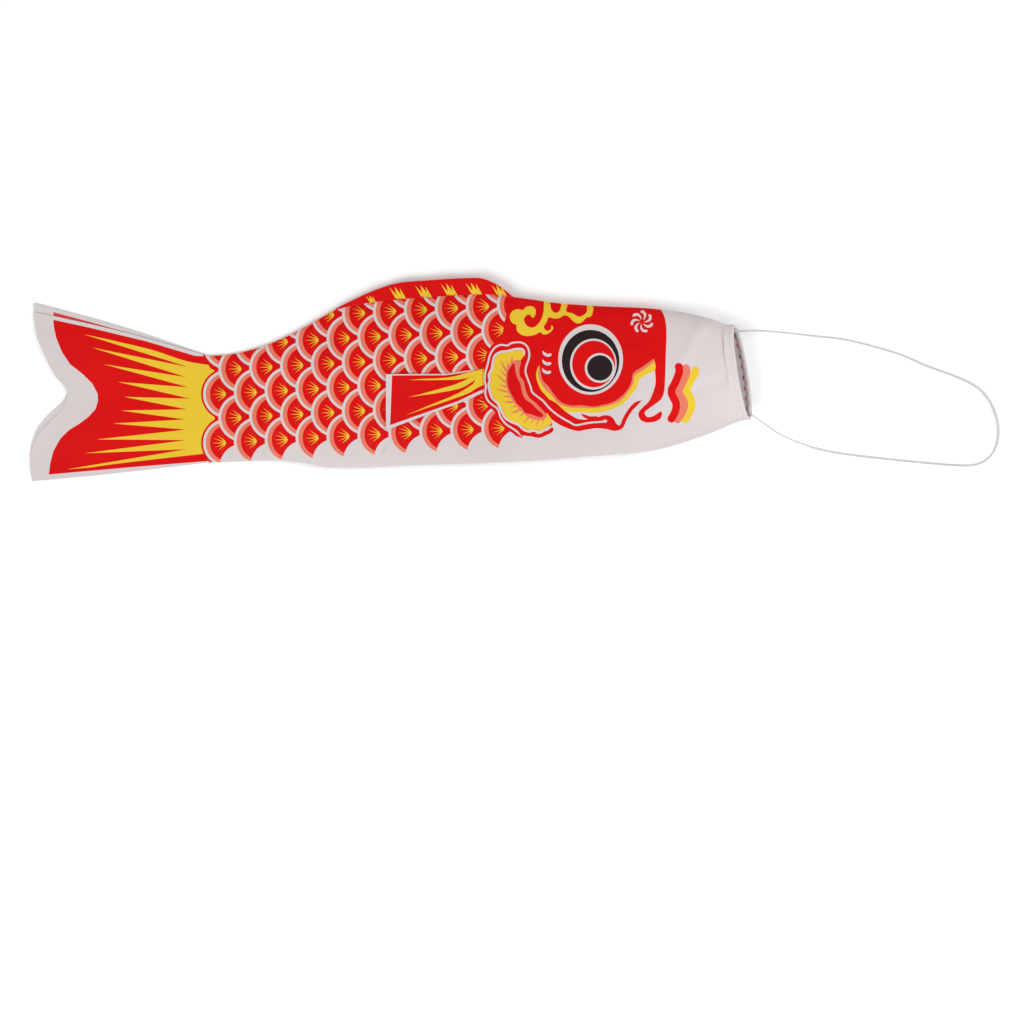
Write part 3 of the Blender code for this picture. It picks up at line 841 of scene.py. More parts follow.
@dataclass(frozen=True)
class Head:
    """The printed face: gill, cheek, eye, brow, mouth lines and nose stripes."""

    border: float = 4.3
    line: float = 1.0
    eye: tuple[tuple[Ink, float, float, float, float], ...] = (
        # each oval's ink, middle, and half its width and height
        (Ink.CLOTH, 110.7, 11.1, 17.9, 19.5), (Ink.BLACK, 110.7, 10.3, 15.9, 17.2),
        (Ink.CLOTH, 112.2, 8.5, 12.9, 14.1), (Ink.RED, 112.4, 8.6, 11.9, 12.9),
        (Ink.CLOTH, 115.7, 6.4, 8.2, 8.2), (Ink.BLACK, 115.8, 6.4, 7.0, 7.0),
    )
    eye_marks: int = 3
    eye_mark_step: tuple[float, float] = (-0.13, -4.8)
    wheel: tuple[float, float] = (139.1, 32.0)
    blades: int = 7
    blade: Table = ((1.1, 0.0), (2.6, 0.06), (4.2, 0.22), (5.4, 0.5), (5.8, 0.8))
    stripe_width: float = 4.3
    ticks: int = 17
    tick_reach: tuple[float, float] = (0.5, 0.72)
    lip_dot: tuple[float, float] = (118.7, -23.0)
    band_close: Table = ((82.4, 8.0), (144.0, 12.0))
    crown_close: Table = ((82.6, 18.0), (145.0, 18.0))

    def paint(self, printing: Print) -> None:
        """Lay the whole face.

        Args:
            printing: What the shapes are added to.
        """
        self.paint_cheek(printing)
        self.paint_gill(printing)
        self.paint_lips(printing)
        for ink, x, y, across, up in self.eye:
            printing.add(ink, oval((x, y), across, up))
        for mark in range(self.eye_marks):
            moved = np.array(CRESCENT) + np.array(self.eye_mark_step) * mark
            printing.add(Ink.CLOTH, brush(moved, 1.6, (2.2, 0.5), 0.35))
        for blade in range(self.blades):
            self.paint_blade(printing, math.tau * blade / self.blades)
        for ink, stripe in zip((Ink.YELLOW, Ink.SALMON, Ink.RED), NOSE_STRIPES):
            printing.add(ink, brush(stripe, self.stripe_width, step=0.3))

    def paint_cheek(self, printing: Print) -> None:
        """Lay the red of the head over the cheek's two bands, and the brow on it."""
        gill = smooth_line(GILL_LINE[15:34])
        printing.add(Ink.RED, np.vstack((
            smooth_line(HEAD_FRONT), smooth_line(CHEEK_RED), CHEEK_FOOT, gill[::-1],
            smooth_line(HEAD_REAR)[::-1],
        )))
        for ink, band, close in (
                (Ink.YELLOW, CHEEK_YELLOW, self.band_close),
                (Ink.SALMON, CHEEK_SALMON, self.band_close),
                (Ink.RED, CHEEK_RED, self.crown_close)):
            printing.add(ink, np.vstack((smooth_line(band), close)))
        printing.add(Ink.YELLOW, smooth_line(EYEBROW, 0.7, closed=True))

    def paint_gill(self, printing: Print) -> None:
        """Lay the gill: its red border, white line, yellow frill, salmon rim and red core."""
        printing.add(Ink.RED, brush(GILL_LINE, self.border, (3.0, 0.0)))
        printing.add(Ink.RED, np.vstack((smooth_line(GILL_LINE[:33]), GILL_FILL_END)))
        printing.add(Ink.RED, brush(LIP_LOW, 2.2))
        printing.add(Ink.CLOTH, brush(GILL_LINE, self.line, (4.0, 0.0)))
        frill = smooth_line(GILL_YELLOW, 0.7, closed=True)
        printing.add(Ink.CLOTH, brush(GILL_INNER, 1.3, (1.5, 1.5)))
        printing.add(Ink.YELLOW, frill)
        outer, inner = smooth_line(GILL_YELLOW[2:25]), smooth_line(GILL_YELLOW[26:38][::-1])
        for tick in range(1, self.ticks):
            start = inner[int(tick / self.ticks * (len(inner) - 1))]
            finish = outer[int(tick / self.ticks * (len(outer) - 1))]
            tip = start + (finish - start) * self.tick_reach[tick % 2]
            printing.add(Ink.SALMON, brush((start, tip), 1.1, (0.0, 4.0), 0.8))
        printing.add(Ink.SALMON, smooth_line(GILL_SALMON, 0.8, closed=True))
        printing.add(Ink.RED, smooth_line(GILL_CORE, 0.8, closed=True))

    def paint_lips(self, printing: Print) -> None:
        """Lay the jaw, the loop at the corner of the lip, the whisker and the lip's own line."""
        printing.add(Ink.RED, brush(JAW_LINE, 2.2, (4.0, 4.0)))
        printing.add(Ink.RED, smooth_line(LIP_LOOP, 0.8, closed=True))
        printing.add(Ink.RED, brush(WHISKER, 1.7, (3.0, 0.0)))
        printing.add(Ink.RED, brush(LIP_LINE, 2.0, (4.0, 0.0)))
        printing.add(Ink.CLOTH, brush(GILL_LINE, self.line, (4.0, 0.0)))
        printing.add(Ink.CLOTH, oval(self.lip_dot, 1.15, 0.85, 16))

    def paint_blade(self, printing: Print, turn: float) -> None:
        """Lay one comma-shaped blade of the small wheel.

        Args:
            printing: What the blade is added to.
            turn: The blade's direction.
        """
        line = [
            (self.wheel[0] + r * math.cos(turn + bend), self.wheel[1] + r * math.sin(turn + bend))
            for r, bend in self.blade
        ]
        printing.add(Ink.CLOTH, brush(line, 1.45, (3.6, 0.0), 0.35))


def body_print() -> Print:
    """The print of one flank and its tail leaf.

    Returns:
        The printed shapes.
    """
    printing = Print()
    printing.add(Ink.RED, straight_line(TAIL_RED))
    rays = list(smooth_line(RAY_TOP, 3.0))
    for notch, tip in zip(RAY_NOTCHES, RAY_TIPS[1:]):
        rays += [notch, tip]
    rays += [*smooth_line(RAY_LOW, 3.0), *smooth_line(YELLOW_EDGE, 1.2)]
    printing.add(Ink.YELLOW, straight_line(rays, 2.0))
    Scales().paint(printing)
    Head().paint(printing)
    return printing


# ---------------------------------------------------------------- finishes

@dataclass(frozen=True)
class ClothFinish:
    """A light woven polyester, plain or printed."""

    name: str
    colour: Colour
    deep: Colour
    roughness: float = 0.5
    gloss: float = 0.07
    weave: float = 0.42
    bump: float = 0.22

    def make(self) -> bpy.types.Material:
        """Build the material: a fine weave, a soft mottle and a little sheen; the mottle is partly
        random tone and partly painted shade standing in for soft wrinkles.

        Returns:
            The new material.
        """
        finish = Nodes(self.name)
        weave = finish.maths("MULTIPLY", *(finish.wave(axis, self.weave) for axis in ("X", "Y")))
        # The mottle is random tone in the cloth and also painted shade: its darker blotches stand
        # in for the shading of soft wrinkles.
        mottle_and_painted_shade = finish.noise(26.0, 3.0)
        fibre = finish.noise(900.0, 2.0)
        shade = finish.maths("ADD", finish.maths("MULTIPLY", mottle_and_painted_shade, 0.75),
                             finish.maths("MULTIPLY", fibre, 0.25))
        finish.colour(shade, self.colour, self.deep)
        finish.roughen(mottle_and_painted_shade, self.roughness - 0.06, self.roughness + 0.06)
        finish.bump(finish.maths("ADD", weave, finish.maths("MULTIPLY", fibre, 0.4)),
                    self.bump, 0.00006)
        finish.set({"Specular IOR Level": self.gloss, "Sheen Weight": 0.015,
                    "Sheen Roughness": 0.45})
        return finish.material


@dataclass(frozen=True)
class ThreadFinish:
    """Sewing thread or braided cord."""

    name: str
    colour: Colour
    deep: Colour
    twist: float = 0.5

    def make(self) -> bpy.types.Material:
        """Build the material: twisted yarn with a few stray fibres.

        Returns:
            The new material.
        """
        finish = Nodes(self.name)
        yarn = finish.wave("DIAGONAL", self.twist)
        fibre = finish.noise(2600.0, 3.0)
        finish.colour(finish.maths("MULTIPLY", yarn, fibre), self.colour, self.deep)
        finish.roughen(fibre, 0.55, 0.75)
        finish.bump(finish.maths("ADD", yarn, fibre), 0.3, 0.00005)
        finish.set({"Specular IOR Level": 0.1, "Sheen Weight": 0.03})
        return finish.material


@dataclass(frozen=True)
class NylonFinish:
    """The hoop's milky extruded nylon."""

    name: str = "hoop_nylon"
    colour: Colour = (0.62, 0.64, 0.64)
    deep: Colour = (0.5, 0.52, 0.53)

    def make(self) -> bpy.types.Material:
        """Build the material: faint draw marks and a soft gloss.

        Returns:
            The new material.
        """
        finish = Nodes(self.name)
        marks = finish.noise(700.0, 4.0)
        finish.colour(finish.noise(60.0, 2.0), self.colour, self.deep)
        finish.roughen(marks, 0.28, 0.42)
        finish.bump(marks, 0.15, 0.00003)
        return finish.material


class Nodes:
    """A small hand for building one material's nodes."""

    def __init__(self, name: str) -> None:
        """Start a material with its shader."""
        self.material = bpy.data.materials.new(name)
        self.material.use_nodes = True
        self.tree = self.material.node_tree
        self.shader = self.tree.nodes["Principled BSDF"]
        self.place = self.add("ShaderNodeTexCoord").outputs["Object"]

    def add(self, kind: str) -> bpy.types.Node:
        """Add a node."""
        return self.tree.nodes.new(kind)

    def join(self, source: Socket, target: Socket) -> None:
        """Link one socket to another."""
        self.tree.links.new(source, target)

    def set(self, values: dict[str, float]) -> None:
        """Set the shader's plain values, by the names of its sockets."""
        for name, value in values.items():
            self.shader.inputs[name].default_value = value

    def maths(self, operation: str, first: Socket, second: Socket | float) -> Socket:
        """Combine two values.

        Args:
            operation: The kind of sum.
            first: The first value.
            second: A socket or a number.

        Returns:
            The result's socket.
        """
        node = self.add("ShaderNodeMath")
        node.operation = operation
        self.join(first, node.inputs[0])
        if isinstance(second, float):
            node.inputs[1].default_value = second
        else:
            self.join(second, node.inputs[1])
        return node.outputs[0]

    def wave(self, axis: str, pitch: float) -> Socket:
        """Even bands across an axis.

        Args:
            axis: The direction that the bands cross.
            pitch: From one band to the next, in millimetres.

        Returns:
            The bands' value.
        """
        node = self.add("ShaderNodeTexWave")
        node.bands_direction = axis
        node.inputs["Scale"].default_value = math.pi / 10 / (pitch * MM)
        node.inputs["Distortion"].default_value = 0.6
        node.inputs["Detail"].default_value = 1.0
        self.join(self.place, node.inputs["Vector"])
        return node.outputs["Fac"]

    def noise(self, scale: float, detail: float) -> Socket:
        """Soft random values.

        Args:
            scale: How fine they are.
            detail: How many finer layers they have.

        Returns:
            The value.
        """
        node = self.add("ShaderNodeTexNoise")
        node.inputs["Scale"].default_value = scale
        node.inputs["Detail"].default_value = detail
        self.join(self.place, node.inputs["Vector"])
        return node.outputs["Fac"]

    def colour(self, share: Socket, first: Colour, second: Colour) -> None:
        """Colour the surface between two colours.

        Args:
            share: 0 for the first colour and 1 for the second.
            first: The first colour.
            second: The second colour.
        """
        node = self.add("ShaderNodeMix")
        node.data_type = "RGBA"
        self.join(share, node.inputs["Factor"])
        sockets = [socket for socket in node.inputs if socket.type == "RGBA"]
        for socket, colour in zip(sockets, (first, second)):
            socket.default_value = (*colour, 1.0)
        mixed = next(socket for socket in node.outputs if socket.type == "RGBA")
        self.join(mixed, self.shader.inputs["Base Color"])

    def roughen(self, value: Socket, low: float, high: float) -> None:
        """Set how rough the surface is.

        Args:
            value: Values from 0 to 1.
            low: The roughness at 0.
            high: The roughness at 1.
        """
        node = self.add("ShaderNodeMapRange")
        node.inputs["To Min"].default_value = low
        node.inputs["To Max"].default_value = high
        self.join(value, node.inputs["Value"])
        self.join(node.outputs["Result"], self.shader.inputs["Roughness"])

    def bump(self, height: Socket, strength: float, distance: float) -> None:
        """Raise the surface's grain by a height.

        Args:
            height: The height's value.
            strength: How much of it shows.
            distance: The height of 1, in metres.
        """
        node = self.add("ShaderNodeBump")
        node.inputs["Strength"].default_value = strength
        node.inputs["Distance"].default_value = distance
        self.join(height, node.inputs["Height"])
        self.join(node.outputs["Normal"], self.shader.inputs["Normal"])


@dataclass
class Wardrobe:
    """Every finish of the streamer, made once."""

    face: list[bpy.types.Material] = field(default_factory=list)
    reverse: list[bpy.types.Material] = field(default_factory=list)
    red_thread: bpy.types.Material | None = None
    white_thread: bpy.types.Material | None = None
    cord: bpy.types.Material | None = None
    nylon: bpy.types.Material | None = None
    show_through: float = 0.07

    def fill(self) -> "Wardrobe":
        """Make the finishes.

        Returns:
            The filled wardrobe.
        """
        # Each ink's second, darker tone is the dark end of the mottle, partly random tone and
        # partly painted shade of soft wrinkles.
        white, pale = (0.63, 0.575, 0.575), (0.53, 0.48, 0.48)
        inks = {
            "cloth": (white, pale), "red": ((0.66, 0.004, 0.004), (0.52, 0.002, 0.003)),
            "yellow": ((0.75, 0.52, 0.04), (0.64, 0.43, 0.022)),
            "salmon": ((0.72, 0.19, 0.12), (0.62, 0.15, 0.10)),
            "black": ((0.022, 0.014, 0.014), (0.014, 0.009, 0.009)),
        }
        for name, (colour, deep) in inks.items():
            self.face.append(ClothFinish(f"printed_{name}", colour, deep).make())
        for name, (colour, deep) in inks.items():
            thin = [
                tuple(c + self.show_through * (w - c) for c, w in zip(tone, white))
                for tone in (colour, deep)
            ]
            self.reverse.append(ClothFinish(f"reverse_{name}", *thin).make())
        self.red_thread, self.white_thread, self.cord = (finish.make() for finish in (
            ThreadFinish("red_sewing_thread", (0.66, 0.008, 0.008), (0.5, 0.004, 0.005)),
            ThreadFinish("white_sewing_thread", (0.74, 0.69, 0.69), (0.62, 0.57, 0.57)),
            ThreadFinish("bridle_cord", (0.56, 0.55, 0.54), (0.36, 0.355, 0.35), 0.7),
        ))
        self.nylon = NylonFinish().make()
        return self


# ---------------------------------------------------------------- mesh helpers

def deselect() -> None:
    """Leave nothing selected."""
    for item in bpy.context.view_layer.objects:
        item.select_set(False)


def only(item: bpy.types.Object) -> None:
    """Select one object and make it the active one."""
    deselect()
    item.select_set(True)
    bpy.context.view_layer.objects.active = item


def new_piece(name: str, corners: np.ndarray, faces: list[tuple[int, ...]],
              finishes: list[bpy.types.Material]) -> bpy.types.Object:
    """Make a piece from its corners and faces.

    Args:
        name: The piece's name.
        corners: Its corners in millimetres.
        faces: Its faces, as corner numbers.
        finishes: Its material slots.

    Returns:
        The new object, with its place in its mesh.
    """
    data = bpy.data.meshes.new(name)
    data.from_pydata((np.asarray(corners) * MM).tolist(), [], faces)
    for finish in finishes:
        data.materials.append(finish)
    piece = bpy.data.objects.new(name, data)
    bpy.context.scene.collection.objects.link(piece)
    return piece


def thicken(piece: bpy.types.Object, thickness: float, reverse_offset: int = 0) -> None:
    """Give an open surface its cloth thickness and smooth it.

    Args:
        piece: The surface.
        thickness: The cloth's thickness in millimetres.
        reverse_offset: How many slots further the inner side's finish is.
    """
    only(piece)
    shell = piece.modifiers.new("cloth", "SOLIDIFY")
    shell.thickness = thickness * MM
    shell.offset = 0.0
    shell.material_offset = reverse_offset
    bpy.ops.object.modifier_apply(modifier=shell.name)
    bpy.ops.object.shade_smooth_by_angle(angle=math.radians(40.0))
    deselect()


def cut_cloth(outline: np.ndarray, printing: Print,
              grid: np.ndarray) -> tuple[np.ndarray, list[tuple[int, ...]], np.ndarray]:
    """Lay out a printed cloth: triangles that follow its cut and its printed edges.

    Args:
        outline: The cut's outline in the plan.
        printing: The print on it.
        grid: Further places inside it, so that it can bend.

    Returns:
        The corners, the faces and each face's ink.
    """
    places = [tuple(place) for place in outline]
    edges = [(index, (index + 1) % len(outline)) for index in range(len(outline))]
    pairs = printing.edges()
    if pairs:
        ends = np.array(pairs).reshape(-1, 2)
        held = inside(outline, ends).reshape(-1, 2).any(axis=1)
        for index in np.flatnonzero(held):
            edges.append((len(places), len(places) + 1))
            places += [tuple(ends[2 * index]), tuple(ends[2 * index + 1])]
    places += [tuple(place) for place in grid[inside(outline, grid)]]
    merge = 0.004
    places = [Vector(place) for place in places]
    corners, _, faces, *_ = delaunay_2d_cdt(places, edges, [], 0, merge)
    corners, faces = np.array([tuple(corner) for corner in corners]), np.array(faces)
    middles = corners[faces].mean(axis=1)
    kept = inside(outline, middles)
    faces, middles = faces[kept], middles[kept]
    a, b, c = (corners[faces[:, k]] for k in range(3))
    turn = (b[:, 0] - a[:, 0]) * (c[:, 1] - a[:, 1]) - (b[:, 1] - a[:, 1]) * (c[:, 0] - a[:, 0])
    solid = np.abs(turn) > 1e-5
    faces, middles, turn = faces[solid], middles[solid], turn[solid]
    faces[turn < 0] = faces[turn < 0][:, ::-1]
    used = np.unique(faces)
    renumber = np.full(len(corners), -1)
    renumber[used] = np.arange(len(used))
    faces = [tuple(face) for face in renumber[faces].tolist()]
    return corners[used], faces, printing.ink_at(middles)


def sheet_area(piece: bpy.types.Object) -> float:
    """Area of a surface that hasn't been thickened yet, in square metres."""
    return sum(face.area for face in piece.data.polygons)


def printed_cloth(name: str, outline: np.ndarray, printing: Print, grid: np.ndarray,
                  lay: Callable[[np.ndarray], np.ndarray], thickness: float,
                  finishes: list[bpy.types.Material],
                  turned: bool = False) -> tuple[bpy.types.Object, float]:
    """Cut, lay and thicken one printed cloth.

    Args:
        name: The piece's name.
        outline: Its cut in the plan.
        printing: Its print.
        grid: Further places inside it.
        lay: Gives plan places their heights.
        thickness: The cloth's thickness in millimetres.
        finishes: The inks' finishes, followed by the reverse ones where it has them.
        turned: Whether its printed side faces down.

    Returns:
        The cloth and its flat area in square metres.
    """
    corners, faces, inks = cut_cloth(outline, printing, grid)
    if turned:
        faces = [face[::-1] for face in faces]
    piece = new_piece(name, lay(corners), faces, finishes)
    piece.data.polygons.foreach_set("material_index", inks.astype(np.int32))
    area = sheet_area(piece)
    thicken(piece, thickness, len(finishes) - len(Ink))
    return piece, area


def grid_in(low: tuple[float, float], high: tuple[float, float], step: float) -> np.ndarray:
    """Evenly spaced places in a rectangle, alternate rows offset.

    Args:
        low: The rectangle's lower corner.
        high: Its upper corner.
        step: The spacing.

    Returns:
        The places, one row each.
    """
    rows = np.arange(low[1], high[1], step * 0.87)
    return np.array([
        (x + (0.5 * step if index % 2 else 0.0), y)
        for index, y in enumerate(rows) for x in np.arange(low[0], high[0], step)
    ])


def tube(name: str, path: np.ndarray, radii: np.ndarray, sides: int, strands: int,
         turns: float, finish: bpy.types.Material) -> bpy.types.Object:
    """A cord along a path, laid up from twisted strands.

    Args:
        name: The piece's name.
        path: Its middle line in millimetres.
        radii: Its radius at each point.
        sides: Corners round it.
        strands: How many strands it shows.
        turns: How many times they twist along it.
        finish: Its finish.

    Returns:
        The closed tube.
    """
    ahead = unit(np.gradient(path, axis=0))
    across = np.cross(ahead[0], (0.0, 0.0, 1.0))
    crest, groove = 1.02, 0.13
    corners = []
    for index, (place, forward) in enumerate(zip(path, ahead)):
        across = unit(across - forward * (across @ forward))
        other = np.cross(forward, across)
        twist = math.tau * turns * index / (len(path) - 1)
        for side in range(sides):
            angle = math.tau * side / sides
            bulge = crest - groove * abs(math.sin(strands * (angle + twist) / 2))
            out = across * math.cos(angle) + other * math.sin(angle)
            corners.append(place + out * radii[index] * bulge)
    faces = []
    for ring in range(len(path) - 1):
        for side in range(sides):
            after = (side + 1) % sides
            here, there = ring * sides, (ring + 1) * sides
            faces.append((here + side, here + after, there + after, there + side))
    last = (len(path) - 1) * sides
    faces.append(tuple(range(sides))[::-1])
    faces.append(tuple(range(last, last + sides)))
    piece = new_piece(name, np.array(corners), faces, [finish])
    piece.data.shade_smooth()
    return piece


@dataclass(frozen=True)
class Stitch:
    """One sewn stitch, arched so that both its ends dive into the cloth."""

    length: float = 2.0
    width: float = 0.36
    straight: float = 0.8
    sides: int = 8
    tip_shrink: tuple[float, float, float] = (1.25, 0.55, 0.55)
    dive: float = 0.16

    def model(self) -> bpy.types.Object:
        """Shape the stitch at the origin, along X.

        Returns:
            The pattern that every stitch is copied from.
        """
        deselect()
        bpy.ops.mesh.primitive_cylinder_add(
            vertices=self.sides, radius=self.width / 2 * MM, depth=self.length * MM * self.straight,
            rotation=(0.0, math.pi / 2, 0.0))
        pattern = bpy.context.object
        bpy.ops.object.transform_apply(location=False, rotation=True, scale=False)
        bpy.ops.object.mode_set(mode="EDIT")
        bpy.ops.mesh.select_all(action="SELECT")
        bpy.ops.mesh.bisect(plane_co=(0.0, 0.0, 0.0), plane_no=(1.0, 0.0, 0.0))
        bpy.ops.mesh.select_all(action="DESELECT")
        bpy.ops.object.mode_set(mode="OBJECT")
        for face in pattern.data.polygons:
            face.select = abs(face.normal.x) > 0.9
        bpy.ops.object.mode_set(mode="EDIT")
        bpy.ops.mesh.extrude_faces_move()
        bpy.ops.transform.resize(value=self.tip_shrink, center_override=(0.0, 0.0, 0.0))
        bpy.ops.transform.translate(value=(0.0, 0.0, -self.dive * MM))
        bpy.ops.object.mode_set(mode="OBJECT")
        pattern.data.shade_smooth()
        return pattern

    def sew(self, name: str, places: list[Matrix], finish: bpy.types.Material) -> bpy.types.Object:
        """Copy the stitch to each place and join the copies into one run.

        Args:
            name: The run's name.
            places: Where each stitch goes, in metres.
            finish: The thread's finish.

        Returns:
            The run of stitches.
        """
        pattern = self.model()
        copies = []
        for place in places:
            data = pattern.data.copy()
            data.transform(place)
            copy = bpy.data.objects.new(name, data)
            bpy.context.scene.collection.objects.link(copy)
            copies.append(copy)
        bpy.data.objects.remove(pattern, do_unlink=True)
        deselect()
        for copy in copies:
            copy.select_set(True)
        bpy.context.view_layer.objects.active = copies[0]
        bpy.ops.object.join()
        run = bpy.context.object
        run.name = name
        run.data.materials.clear()
        run.data.materials.append(finish)
        deselect()
        return run


def stitch_place(place: np.ndarray, ahead: np.ndarray, up: np.ndarray) -> Matrix:
    """The frame of one stitch.

    Args:
        place: Its middle in millimetres.
        ahead: The direction it is sewn in.
        up: The direction out of the cloth.

    Returns:
        The frame in metres.
    """
    x = Vector(ahead).normalized()
    z = Vector(up)
    z = (z - x * z.dot(x)).normalized()
    frame_matrix = Matrix((x, z.cross(x), z)).transposed().to_4x4()
    frame_matrix.translation = Vector(place) * MM
    return frame_matrix


# ---------------------------------------------------------------- sub-assemblies

@dataclass
class BodyCloth:
    """The two printed flanks and their open tail leaves, sewn along the back and the belly."""

    wardrobe: Wardrobe
    thickness: float = 0.22
    split_x: float = -76.0
    tail_length: float = 98.95
    tail_span: float = 94.0
    tail_middle: float = -9.2
    left_skew: float = 0.05
    pressed_limit: float = 0.25
    pressed_share: float = 0.4
    floor_clear: float = 0.02
    grid_step: float = 3.0
    grid_run: tuple[float, float] = (0.085, 0.997)
    tail_grid: Table = ((-202.0, -58.0), (-70.0, 40.0))
    cut_step: float = 1.5
    rows: int = 44
    sway: tuple[float, float] = (-33.0, -62.0)
    flap: tuple[float, float] = (-95.0, -109.0)

    @property
    def split(self) -> float:
        """The station where the flank and the tail leaf meet."""
        return (self.split_x - FORM.root_x) / FORM.run

    def seam_points(self, low: float, high: float, back: bool, step: float = 1.2) -> np.ndarray:
        """Plan points along a seam.

        Args:
            low: First station.
            high: Last station.
            back: True for the back seam.
            step: Spacing in millimetres.

        Returns:
            The points from low to high.
        """
        return FORM.seam(np.linspace(low, high, int((high - low) * FORM.run / step) + 2), back)

    def front_edge(self, flank: Flank) -> np.ndarray:
        """The cut edge under the hem, from the back to the belly."""
        around = np.linspace(0.0, math.pi, 72) * flank.value
        return FORM.rim(around, 0.0, FORM.hem_width + FORM.gap)[:, :2]

    def flank_outline(self, flank: Flank) -> np.ndarray:
        """The cut of one flank, from the split near the tail to the hem."""
        back, belly = (self.seam_points(self.split, 1.0, side) for side in (True, False))
        split = spaced(np.vstack((belly[0], back[0])), self.cut_step)
        return np.vstack((back, self.front_edge(flank)[1:-1], belly[::-1], split[1:-1]))

    def tail_outline(self) -> np.ndarray:
        """The cut of one tail leaf, with the end of the sewn body that it grows from."""
        back, belly = (self.seam_points(0.0, self.split, side) for side in (True, False))
        cut = [
            (FORM.root_x - a * self.tail_length, self.tail_middle + b * self.tail_span)
            for a, b in TAIL_CUT
        ]
        end = smooth_line(cut, 1.0)
        upper = self.bowed(back[0], end[0], 1.5)
        lower = self.bowed(end[-1], belly[0], -0.5)
        split = spaced(np.vstack((back[-1], belly[-1])), self.cut_step)
        return np.vstack((upper, end[1:-1], lower, belly[1:], split[::-1][1:-1], back[::-1][:-1]))

    def bowed(self, first: np.ndarray, second: np.ndarray, rise: float) -> np.ndarray:
        """A cut edge that bows a little off a straight line.

        Args:
            first: Its start.
            second: Its end.
            rise: How far its middle stands above the line.

        Returns:
            Points along the edge.
        """
        line = spaced(np.vstack((first, second)), 1.4)
        share = np.linspace(0.0, 1.0, len(line))
        line[:, 1] += rise * np.sin(math.pi * share)
        return line

    def body_grid(self, flank: Flank) -> np.ndarray:
        """Places over a flank, closer together where it turns in to the seams."""
        first, last = self.grid_run
        stations = np.linspace(first, last, int((last - first) * FORM.run / self.grid_step))
        angles = np.linspace(0.0, math.pi, self.rows)[1:-1]
        station, angle = (axis.ravel() for axis in np.meshgrid(stations, angles))
        half = FORM.half(station)
        offset = half * np.cos(angle)
        x = FORM.plan_x(station, offset, flank.value * angle)
        return np.stack((x, FORM.belly(station) + half + offset), axis=1)

    def raise_cloth(self, places: np.ndarray, flank: Flank) -> np.ndarray:
        """Lift plan places to the cloth's height.

        Args:
            places: Places in the plan, one row each.
            flank: Which flank.

        Returns:
            One row of x, y and z for each.
        """
        z = FORM.height(places, flank)
        crease = CREASES.lift(places, FORM)
        if flank is Flank.LEFT:
            crease = -self.pressed_share * np.minimum(crease, self.pressed_limit)
        z = z + crease
        z = z + CREASES.flutter(places)
        if flank is Flank.LEFT:
            z = np.maximum(z, self.thickness / 2 + self.floor_clear)
            x = places[:, 0]
            skew = self.left_skew * np.maximum(FORM.root_x - 1.0 - x, 0.0)
            places = np.stack((x, places[:, 1] + skew), axis=1)
        return np.column_stack((places, z))

    def build_cloth(self, name: str, flank: Flank, outline: np.ndarray, grid: np.ndarray,
                    printing: Print) -> tuple[bpy.types.Object, float]:
        """Make one printed cloth.

        Args:
            name: The piece's name.
            flank: Which flank it belongs to.
            outline: Its cut in the plan.
            grid: Places inside it.
            printing: Its print.

        Returns:
            The thickened cloth and its flat area in square metres.
        """
        return printed_cloth(
            name, outline, printing, grid, lambda places: self.raise_cloth(places, flank),
            self.thickness, self.wardrobe.face + self.wardrobe.reverse, flank is Flank.LEFT)

    def build(self, printing: Print) -> list[bpy.types.Object]:
        """Make both flanks and both tail leaves.

        Args:
            printing: The print of one side.

        Returns:
            The four pieces.
        """
        pieces = []
        for flank in Flank:
            word = flank.name.lower()
            outline, grid = self.flank_outline(flank), self.body_grid(flank)
            piece, area = self.build_cloth(f"{word}_flank", flank, outline, grid, printing)
            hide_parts(f"{word}_front_panel", f"{word}_rear_panel")
            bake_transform(piece)
            pieces.append(piece)

            outline = self.tail_outline()
            grid = grid_in(*self.tail_grid, self.grid_step)
            piece, area = self.build_cloth(f"{word}_tail", flank, outline, grid, printing)
            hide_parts(f"{word}_tail_leaf")
            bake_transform(piece)
            pieces.append(piece)
        return pieces


@dataclass
class SeamStitches:
    """Running stitches just inside the back and belly seams."""

    wardrobe: Wardrobe
    body: BodyCloth
    inset: float = 0.8
    pitch: float = 3.1
    proud: float = 0.1
    red_end: float = 147.0
    sewn: tuple[float, float] = (0.012, 0.985)
    nearby: float = 0.15

    def on_cloth(self, places: np.ndarray, flank: Flank, proud: float) -> list[Matrix]:
        """Frames for stitches that follow a line on a flank.

        Args:
            places: The line in the plan, one stitch at each place.
            flank: Which flank.
            proud: How far the stitches stand off the cloth's middle.

        Returns:
            One frame for each stitch.
        """
        middle = self.body.raise_cloth(places, flank)
        along_x = self.body.raise_cloth(places + (self.nearby, 0.0), flank) - middle
        along_y = self.body.raise_cloth(places + (0.0, self.nearby), flank) - middle
        normal = unit(np.cross(along_x, along_y) * flank.value)
        ahead = np.gradient(middle, axis=0)
        return [
            stitch_place(spot + up * proud, forward, up)
            for spot, forward, up in zip(middle, ahead, normal)
        ]

    def seam_line(self, back: bool) -> np.ndarray:
        """The line of stitches beside one seam, in the plan."""
        first, last = self.sewn
        station = np.linspace(first, last, int((last - first) * FORM.run / self.pitch))
        return FORM.seam(station, back, self.inset)

    def build(self) -> list[bpy.types.Object]:
        """Sew both seams on each flank.

        Returns:
            The runs of stitches.
        """
        pieces = []
        stitch = Stitch(length=2.1, width=0.18)
        for flank in Flank:
            for word, back in (("back", True), ("belly", False)):
                line = self.seam_line(back)
                line = line[line[:, 0] < self.red_end] if back else line
                thread = self.wardrobe.red_thread if back else self.wardrobe.white_thread
                run = stitch.sew(f"{flank.name.lower()}_{word}_seam_stitches",
                                 self.on_cloth(line, flank, self.proud), thread)
                if flank is Flank.RIGHT:
                    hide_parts(f"{word}_seam_thread_front", f"{word}_seam_thread_rear")
                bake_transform(run)
                pieces.append(run)
        return pieces


